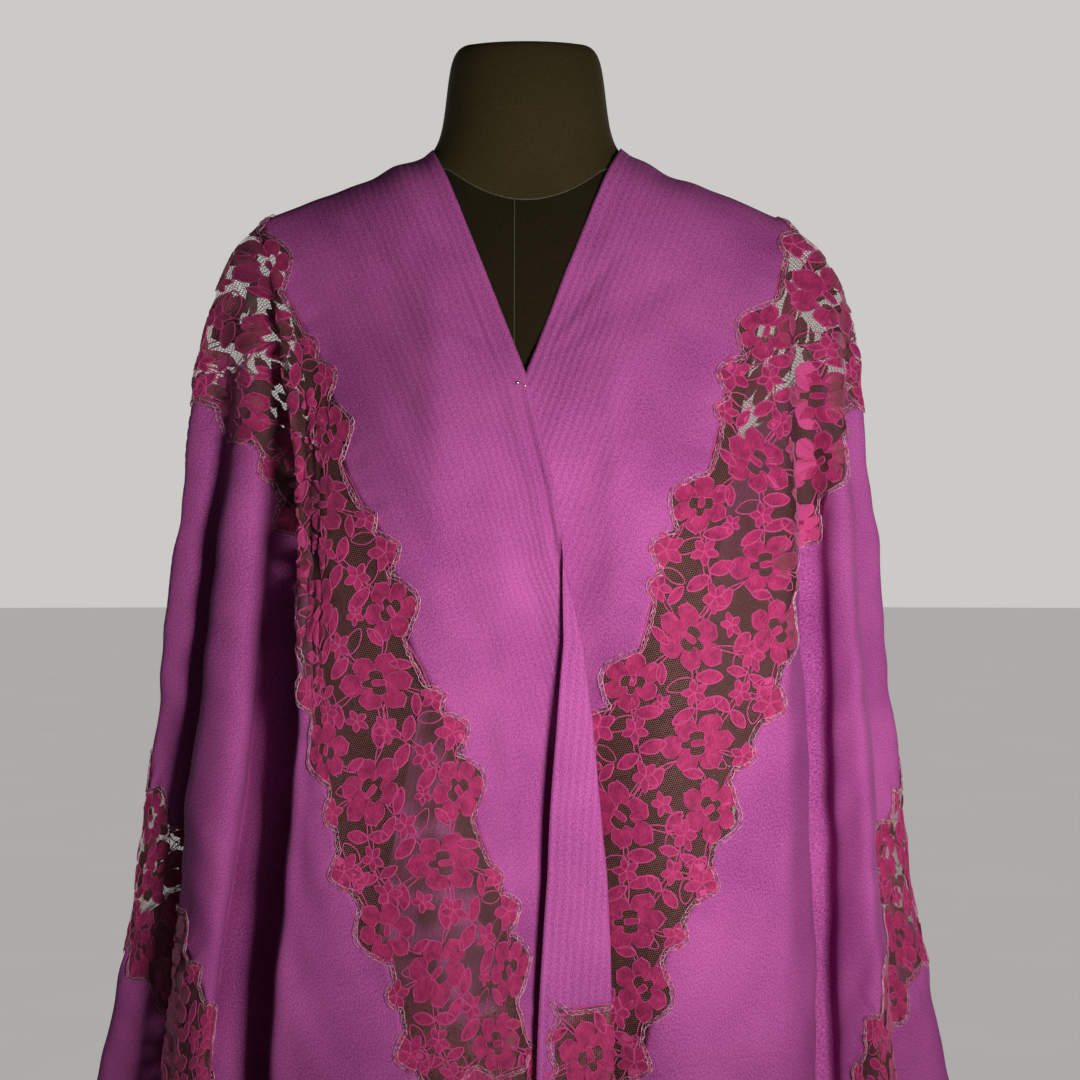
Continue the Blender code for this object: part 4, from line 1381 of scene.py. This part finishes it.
def slice_at_roll(bm):
    """Give the motifs of the right front's end points to bend at, where the edge rolls over."""
    middle = -0.5 * (END_LACE[0] + END_LACE[1])
    slope = float(turn_line(middle + 0.01) - turn_line(middle - 0.01)) / 0.02
    for offset in np.linspace(-HALF_ROLL, HALF_ROLL, 7):
        slice_across(bm, (middle, float(turn_line(middle)) + offset, 0), (-slope, 1.0, 0.0))


def turn_over(bm):
    """Move what lies past the right front's turn line to the other face, which shows there."""
    for vert in bm.verts:
        if vert.co.y < float(turn_line(vert.co.x)):
            vert.co.z = -vert.co.z


def end_stitches(side):
    """Stitches round the lace of one end: along its two seams, and in scallops at its two edges."""
    stitches = []
    for edge_side in (0, 1):
        along = np.arange(0.0, WIDTH - 2.0 * MARGIN, PATH_STEP)
        reach = bulge_of(along / MM, edge_side) * MM
        v = along + MARGIN
        away = (reach - STITCH_INSET) * (2 * edge_side - 1)
        u = side * (END_LACE[edge_side] + seam_wave(v) + away)
        stitches.append(sewn_edge(np.column_stack((u, v))))
    for edge, outwards in ((MARGIN, -1), (WIDTH - MARGIN, 1)):
        u = np.arange(END_LACE[0] - END_BAND_OVERLAP, END_LACE[1] + END_BAND_OVERLAP, PATH_STEP)
        v = edge + outwards * END_SCALLOP * (np.abs(np.sin(u / END_SCALLOP_LENGTH * math.pi)) - 0.3)
        stitches.append(sewn_edge(np.column_stack((side * u, v))))
    bm = joined(stitches)
    if side < 0:
        turn_over(bm)
    return bm


# ---------------------------------------------------------------- materials

def new_material(name):
    material = bpy.data.materials.new(name)
    material.use_nodes = True
    tree = material.node_tree
    return material, tree, tree.nodes["Principled BSDF"]


def node(tree, kind, **values):
    made = tree.nodes.new(kind)
    for key, value in values.items():
        setattr(made, key, value)
    return made


def link(tree, source, target):
    tree.links.new(source, target)


def math_node(tree, operation, a, b=None):
    made = node(tree, "ShaderNodeMath", operation=operation)
    for socket, value in ((made.inputs[0], a), (made.inputs[1], b)):
        if value is None:
            continue
        if isinstance(value, (int, float)):
            socket.default_value = value
        else:
            link(tree, value, socket)
    return made.outputs[0]


def vector_node(tree, operation, a, b=None):
    made = node(tree, "ShaderNodeVectorMath", operation=operation)
    for socket, value in ((made.inputs[0], a), (made.inputs[1], b)):
        if value is None:
            continue
        if isinstance(value, (tuple, list)):
            socket.default_value = value
        else:
            link(tree, value, socket)
    return made


def set_inputs(made, **values):
    """Set inputs by name, where _ stands for a space."""
    for name, value in values.items():
        made.inputs[name.replace("_", " ")].default_value = value


def flat_place(tree):
    """Place on the flat cut, u and v in metres."""
    return node(tree, "ShaderNodeUVMap", uv_map="flat").outputs[0]


def object_place(tree):
    return node(tree, "ShaderNodeTexCoord").outputs["Object"]


def mapped(tree, vector, degrees, scale):
    made = node(tree, "ShaderNodeMapping")
    set_inputs(made, Rotation=(0, 0, math.radians(degrees)), Scale=scale)
    link(tree, vector, made.inputs["Vector"])
    return made.outputs[0]


def noise_of(tree, vector, scale, detail=2.0):
    made = node(tree, "ShaderNodeTexNoise")
    set_inputs(made, Scale=scale, Detail=detail)
    link(tree, vector, made.inputs["Vector"])
    return made.outputs["Fac"]


def bands_of(tree, vector, axis, **values):
    made = node(tree, "ShaderNodeTexWave", wave_type="BANDS", bands_direction=axis)
    set_inputs(made, **values)
    link(tree, vector, made.inputs["Vector"])
    return made.outputs["Fac"]


def split_up(tree, vector):
    made = node(tree, "ShaderNodeSeparateXYZ")
    link(tree, vector, made.inputs[0])
    return made.outputs


def mapped_range(tree, value, **limits):
    made = node(tree, "ShaderNodeMapRange")
    set_inputs(made, **limits)
    link(tree, value, made.inputs["Value"])
    return made.outputs["Result"]


def mixed(tree, factor, first, second, kind="RGBA"):
    made = node(tree, "ShaderNodeMix", data_type=kind)
    link(tree, factor, made.inputs["Factor"])
    link(tree, first, made.inputs["A"])
    link(tree, second, made.inputs["B"])
    return made.outputs["Result"]


def two_tone(tree, factor, dark, light, start=0.0, end=1.0):
    ramp = node(tree, "ShaderNodeValToRGB")
    ramp.color_ramp.elements[0].position = start
    ramp.color_ramp.elements[0].color = (*dark, 1.0)
    ramp.color_ramp.elements[1].position = end
    ramp.color_ramp.elements[1].color = (*light, 1.0)
    link(tree, factor, ramp.inputs["Fac"])
    return ramp.outputs["Color"]


def weighted_sum(tree, terms):
    total = None
    for output, weight in terms:
        part = math_node(tree, "MULTIPLY", output, weight)
        total = part if total is None else math_node(tree, "ADD", total, part)
    return total


def bumped(tree, height, distance, strength, below=None):
    bump = node(tree, "ShaderNodeBump")
    set_inputs(bump, Strength=strength, Distance=distance)
    link(tree, height, bump.inputs["Height"])
    if below is not None:
        link(tree, below, bump.inputs["Normal"])
    return bump.outputs["Normal"]


def wool_material():
    """Fine wool: a slanting grain, soft ribs beside the neck edge, a nap and uneven dye."""
    material, tree, shader = new_material("wool_crepe")
    uv = flat_place(tree)
    grain = noise_of(tree, mapped(tree, uv, 34, (0.45, 1.0, 1.0)), 1400.0)
    nap = noise_of(tree, uv, 2600.0, 3.0)
    dye = noise_of(tree, uv, 12.0, 4.0)
    ribs = bands_of(tree, uv, "Y", Scale=58.0, Distortion=2.2, Detail=2.0, Detail_Scale=0.6)
    near_edge = mapped_range(tree, split_up(tree, uv)["Y"], From_Min=0.150, From_Max=0.025)
    rib = math_node(tree, "MULTIPLY", ribs, near_edge)

    tone = weighted_sum(tree, ((grain, 0.56), (nap, 0.22), (dye, 0.22), (rib, 0.035)))
    colour = two_tone(tree, tone, (0.225, 0.032, 0.180), (0.620, 0.140, 0.450), 0.38, 0.63)
    link(tree, colour, shader.inputs["Base Color"])
    fine = bumped(tree, weighted_sum(tree, ((grain, 0.7), (nap, 0.3))), 0.0005, 0.7)
    link(tree, bumped(tree, rib, 0.0004, 0.7, below=fine), shader.inputs["Normal"])
    set_inputs(shader, Roughness=0.85, Specular_IOR_Level=0.08, Sheen_Weight=0.06,
               Sheen_Roughness=0.45, Sheen_Tint=(0.95, 0.45, 0.95, 1.0))
    return material


def lace_material():
    """Raspberry cotton lace: streaky woven pads with brighter raised cords."""
    material, tree, shader = new_material("lace_floral")
    uv = flat_place(tree)
    streaks = noise_of(tree, mapped(tree, uv, -28, (0.35, 1.0, 1.0)), 900.0)
    weave = noise_of(tree, uv, 1500.0)
    patch = noise_of(tree, uv, 130.0, 3.0)
    tone = weighted_sum(tree, ((streaks, 0.40), (weave, 0.20), (patch, 0.40)))
    pads = two_tone(tree, tone, (0.200, 0.009, 0.060), (0.520, 0.028, 0.155), 0.38, 0.62)
    cords = two_tone(tree, weave, (0.430, 0.028, 0.150), (0.720, 0.095, 0.310), 0.30, 0.70)
    cord = node(tree, "ShaderNodeAttribute", attribute_name="cord").outputs["Fac"]
    link(tree, mixed(tree, cord, pads, cords), shader.inputs["Base Color"])
    relief = weighted_sum(tree, ((streaks, 0.6), (weave, 0.4)))
    link(tree, bumped(tree, relief, 0.0006, 0.8), shader.inputs["Normal"])
    set_inputs(shader, Roughness=0.72, Specular_IOR_Level=0.25, Sheen_Weight=0.15)
    return material


def hexagon_group():
    """Even six-sided mesh: the input is in cells, and the output is 1 on a thread."""
    tree = bpy.data.node_groups.new("six_sided_net", "ShaderNodeTree")
    tree.interface.new_socket("Vector", in_out="INPUT", socket_type="NodeSocketVector")
    width = tree.interface.new_socket("Thread", in_out="INPUT", socket_type="NodeSocketFloat")
    width.default_value = 0.12
    tree.interface.new_socket("Mask", in_out="OUTPUT", socket_type="NodeSocketFloat")
    entry = node(tree, "NodeGroupInput")
    leave = node(tree, "NodeGroupOutput")
    pitch = (1.0, math.sqrt(3.0), 1.0)
    half = (0.5, 0.5 * math.sqrt(3.0), 0.5)
    cells = []
    for start in ((0.0, 0.0, 0.0), half):
        moved = vector_node(tree, "SUBTRACT", entry.outputs["Vector"], start)
        wrap = vector_node(tree, "WRAP", moved.outputs[0], pitch)
        wrap.inputs[2].default_value = (0.0, 0.0, 0.0)
        centred = vector_node(tree, "SUBTRACT", wrap.outputs[0], half)
        cells.append(vector_node(tree, "MULTIPLY", centred.outputs[0], (1.0, 1.0, 0.0)).outputs[0])
    lengths = [vector_node(tree, "LENGTH", cell).outputs["Value"] for cell in cells]
    nearer = math_node(tree, "LESS_THAN", lengths[0], lengths[1])
    size = vector_node(tree, "ABSOLUTE", mixed(tree, nearer, cells[1], cells[0], kind="VECTOR")).outputs[0]
    slanted = vector_node(tree, "DOT_PRODUCT", size, (0.5, 0.5 * math.sqrt(3.0), 0.0))
    far = math_node(tree, "MAXIMUM", slanted.outputs["Value"], split_up(tree, size)["X"])
    rim = math_node(tree, "SUBTRACT", 0.5, far)
    mask = math_node(tree, "LESS_THAN", rim, entry.outputs["Thread"])
    link(tree, mask, leave.inputs["Mask"])
    return tree


NET_CELL = 0.0016


def net_material(hexagons):
    """Fine six-sided net, open between its threads."""
    material, tree, shader = new_material("lace_net")
    uv = flat_place(tree)
    net = node(tree, "ShaderNodeGroup", node_tree=hexagons)
    set_inputs(net, Thread=0.09)
    link(tree, mapped(tree, uv, 0, (1.0 / NET_CELL, 1.0 / NET_CELL, 1.0)), net.inputs["Vector"])
    link(tree, net.outputs["Mask"], shader.inputs["Alpha"])
    colour = two_tone(tree, noise_of(tree, uv, 300.0), (0.150, 0.055, 0.055), (0.340, 0.140, 0.130))
    link(tree, colour, shader.inputs["Base Color"])
    set_inputs(shader, Roughness=0.7)
    return material


def toned_material(name, place_of, noise, dark, light, limits, **values):
    """A material of one noise between two tones; noise is its scale and detail."""
    material, tree, shader = new_material(name)
    tone = noise_of(tree, place_of(tree), *noise)
    link(tree, two_tone(tree, tone, dark, light, *limits), shader.inputs["Base Color"])
    set_inputs(shader, **values)
    return material


def thread_material():
    """Pale pink sewing thread with a twist."""
    return toned_material("sewing_thread", flat_place, (260.0, 3.0), (0.520, 0.090, 0.260),
                          (0.800, 0.460, 0.580), (0.36, 0.60), Roughness=0.55)


def piping_material():
    """Dull olive piping of the form's seams."""
    return toned_material("form_piping", object_place, (900.0,), (0.040, 0.036, 0.018),
                          (0.130, 0.115, 0.065), (0.3, 0.7), Roughness=0.8)


def steel_material():
    """Bright steel of the dressmaker's pin."""
    return toned_material("pin_steel", object_place, (400.0,), (0.55, 0.53, 0.48),
                          (0.80, 0.78, 0.72), (0.0, 1.0), Metallic=1.0, Roughness=0.25)


NECK_SEAM_FRONT = 1.4448
NECK_SEAM_CURVE = 7.6
NECK_SEAM_BACK = 1.468
CENTRE_SEAM_X = -0.008
CENTRE_SEAM_FOOT = 1.300
NECK_PIPING = 0.0007
FRONT_PIPING = 0.0004


def neck_seam_height(x, y):
    """Height of the seam round the foot of the form's neck."""
    return NECK_SEAM_BACK if y > 0 else min(NECK_SEAM_FRONT + NECK_SEAM_CURVE * x * x, NECK_SEAM_BACK)


def jersey_material():
    """Knitted cover of the form: dark on the body and olive on the neck."""
    material, tree, shader = new_material("form_jersey_knit")
    place = object_place(tree)
    knit = bands_of(tree, place, "Z", Scale=260.0, Distortion=1.5, Detail=1.0)
    fuzz = noise_of(tree, place, 700.0, 3.0)
    wear = noise_of(tree, place, 25.0, 3.0)
    tone = weighted_sum(tree, ((fuzz, 0.5), (knit, 0.3), (wear, 0.2)))
    body = two_tone(tree, tone, (0.009, 0.0064, 0.0023), (0.029, 0.0205, 0.0070), 0.25, 0.80)
    neck = two_tone(tree, tone, (0.032, 0.0240, 0.0078), (0.078, 0.0590, 0.0205), 0.25, 0.80)
    x, y, z = split_up(tree, place)
    curve = math_node(tree, "MULTIPLY", math_node(tree, "POWER", x, 2.0), NECK_SEAM_CURVE)
    front = math_node(tree, "MINIMUM", math_node(tree, "ADD", curve, NECK_SEAM_FRONT), NECK_SEAM_BACK)
    behind = math_node(tree, "MULTIPLY", math_node(tree, "GREATER_THAN", y, 0.0), NECK_SEAM_BACK)
    above = math_node(tree, "GREATER_THAN", z, math_node(tree, "MAXIMUM", front, behind))
    link(tree, mixed(tree, above, body, neck), shader.inputs["Base Color"])
    link(tree, bumped(tree, tone, 0.0005, 0.5), shader.inputs["Normal"])
    set_inputs(shader, Roughness=0.9, Specular_IOR_Level=0.12)
    return material


def iron_material():
    """Black lacquered iron, a little worn."""
    material, tree, shader = new_material("lacquered_iron")
    wear = noise_of(tree, object_place(tree), 35.0, 6.0)
    colour = two_tone(tree, wear, (0.018, 0.018, 0.018), (0.060, 0.056, 0.052), 0.35, 0.75)
    link(tree, colour, shader.inputs["Base Color"])
    link(tree, mapped_range(tree, wear, To_Min=0.30, To_Max=0.55), shader.inputs["Roughness"])
    set_inputs(shader, Metallic=0.6)
    return material


def floor_material():
    """Pale matt floor that glows a little, so that it stays pale under the low light."""
    material, tree, shader = new_material("pale_floor")
    colour = two_tone(tree, noise_of(tree, object_place(tree), 1.5), (0.70, 0.69, 0.67), (0.74, 0.73, 0.71))
    link(tree, colour, shader.inputs["Base Color"])
    link(tree, colour, shader.inputs["Emission Color"])
    set_inputs(shader, Emission_Strength=0.55, Roughness=0.9)
    return material


# ---------------------------------------------------------------- the form and stand

def build_form(jersey):
    """A smoother copy of the CAD form, with its jersey cover."""
    bm = form_mesh()
    bmesh.ops.join_triangles(bm, faces=bm.faces[:], angle_face_threshold=math.radians(40),
                             angle_shape_threshold=math.radians(60))
    form = finished("jersey_form", bm, jersey, ("form_torso",))
    rounding = form.modifiers.new("rounding", "SUBSURF")
    rounding.levels = 2
    rounding.render_levels = 2
    return form


def neck_seam_path(surface):
    """Points round the foot of the neck, where the seam lies on the form."""
    path = []
    for turn in np.linspace(0.0, 2.0 * math.pi, 97):
        out = Vector((math.cos(turn), math.sin(turn), 0.0))
        height = NECK_SEAM_BACK
        for _ in range(3):
            hit = surface.ray_cast(Vector((0.0, 0.0, height)), out)[0]
            height = neck_seam_height(hit.x, hit.y)
        path.append((hit.x, hit.y, height))
    return path


def front_seam_path(surface):
    """Points up the middle of the front, laid down: height first, then x, then -y."""
    path = []
    for height in np.linspace(CENTRE_SEAM_FOOT, neck_seam_height(CENTRE_SEAM_X, -1.0), 40):
        hit = surface.ray_cast(Vector((CENTRE_SEAM_X, -0.5, height)), Vector((0.0, 1.0, 0.0)))[0]
        path.append((height, hit.x, -hit.y))
    return path


def build_form_seams(piping):
    """The piped seam round the foot of the neck and the seam down the middle of the front."""
    surface = form_surface()
    finished("piping_neck_seam", tube(neck_seam_path(surface), NECK_PIPING, sides=5), piping)
    seam = tube(front_seam_path(surface), FRONT_PIPING, sides=4)
    upright = Matrix(((0, 1, 0, 0), (0, 0, -1, 0), (1, 0, 0, 0), (0, 0, 0, 1)))
    bmesh.ops.transform(seam, verts=seam.verts[:], matrix=upright)
    bmesh.ops.recalc_face_normals(seam, faces=seam.faces[:])
    finished("piping_front_seam", seam, piping)


# the pin's two ends: u, v and height off the cloth
PIN_HEAD = (-0.3830, 0.0070, 0.0016)
PIN_POINT = (-0.3875, 0.0020, 0.0006)
PIN_RADIUS = 0.00035
PIN_HEAD_RADIUS = 0.0011


def build_pin(steel):
    """A small pin with a round head, through both fronts."""
    ends = lay_points(np.array((PIN_HEAD, PIN_POINT)))
    shaft = tube(ends[0] + (ends[1] - ends[0]) * np.linspace(0.0, 1.0, 5)[:, None], PIN_RADIUS, sides=8)
    head = bmesh.new()
    bmesh.ops.create_uvsphere(head, u_segments=16, v_segments=10, radius=PIN_HEAD_RADIUS,
                              matrix=Matrix.Translation(Vector(ends[0])))
    finished("steel_pin", joined([shaft, head]), steel)


def dress_stand(iron):
    for name in ("stand_base", "stand_pole", "stand_collar"):
        item = frame["nodes"][name]
        item.data.materials.clear()
        item.data.materials.append(iron)


# ---------------------------------------------------------------- studio

BACKDROP = (0.60, 0.59, 0.57, 1.0)
AMBIENT = 0.026
AMBIENT_COLOUR = (1.0, 0.88, 0.90, 1.0)
FLOOR_RADIUS = 60.0
# lights: name, place, size, power, spread in degrees, colour
LAMPS = (
    ("key", (0.54, -1.48, 1.18), 0.36, 2.1, 50, (1.0, 0.96, 0.92)),
    ("fill", (0.3, -2.3, 1.2), 1.2, 0.35, 180, (0.97, 0.95, 1.0)),
    ("back_right", (1.5, 2.4, 1.25), 1.6, 26.0, 180, (1.0, 0.98, 0.96)),
    ("back_left", (-1.7, 2.3, 1.15), 1.6, 20.0, 180, (1.0, 1.0, 1.0)),
)
LAMP_TARGET = Vector((0.06, 0.0, 1.13))


def build_world():
    """Pale to look at, and a weak even light on the object."""
    world = bpy.data.worlds.new("studio")
    world.use_nodes = True
    tree = world.node_tree
    ambient = tree.nodes["Background"]
    set_inputs(ambient, Color=AMBIENT_COLOUR, Strength=AMBIENT)
    seen = node(tree, "ShaderNodeBackground")
    set_inputs(seen, Color=BACKDROP)
    rays = node(tree, "ShaderNodeLightPath")
    mix = node(tree, "ShaderNodeMixShader")
    link(tree, rays.outputs["Is Camera Ray"], mix.inputs["Fac"])
    link(tree, ambient.outputs[0], mix.inputs[1])
    link(tree, seen.outputs[0], mix.inputs[2])
    link(tree, mix.outputs[0], tree.nodes["World Output"].inputs["Surface"])
    bpy.context.scene.world = world


def build_floor():
    bm = bmesh.new()
    bmesh.ops.create_circle(bm, cap_ends=True, segments=64, radius=FLOOR_RADIUS)
    mesh = bpy.data.meshes.new("floor")
    bm.to_mesh(mesh)
    bm.free()
    mesh.materials.append(floor_material())
    floor = bpy.data.objects.new("floor", mesh)
    floor.visible_diffuse = False
    bpy.context.scene.collection.objects.link(floor)


def build_studio():
    build_world()
    build_floor()
    for name, place, size, power, spread, colour in LAMPS:
        light = bpy.data.lights.new(name, "AREA")
        light.size = size
        light.energy = power
        light.spread = math.radians(spread)
        light.color = colour
        lamp = bpy.data.objects.new(name, light)
        lamp.location = place
        lamp.rotation_euler = (LAMP_TARGET - Vector(place)).to_track_quat("-Z", "Y").to_euler()
        bpy.context.scene.collection.objects.link(lamp)


CAMERA_X = 0.010
CAMERA_HEIGHT = 1.205
CAMERA_DISTANCE = 2.5
FRAME_WIDTH = 0.7776
SENSOR = 36.0


def build_camera():
    data = bpy.data.cameras.new("camera")
    data.sensor_width = SENSOR
    data.lens = SENSOR * CAMERA_DISTANCE / FRAME_WIDTH
    camera = bpy.data.objects.new("camera", data)
    camera.location = (CAMERA_X, -CAMERA_DISTANCE, CAMERA_HEIGHT)
    camera.rotation_euler = (math.radians(90), 0, 0)
    bpy.context.scene.collection.objects.link(camera)
    bpy.context.scene.camera = camera


# ---------------------------------------------------------------- assembly


def main():
    bpy.context.scene.view_settings.view_transform = "Standard"
    for item in list(bpy.data.objects):
        if item.name in ("Cube", "Light", "Camera"):
            bpy.data.objects.remove(item, do_unlink=True)
    form = build_form(jersey_material())
    build_form_seams(piping_material())
    build_pin(steel_material())
    dress_stand(iron_material())
    cloth = build_cloth(wool_material())
    lace = build_lace(lace_material(), net_material(hexagon_group()), thread_material())
    build_studio()
    build_camera()


main()
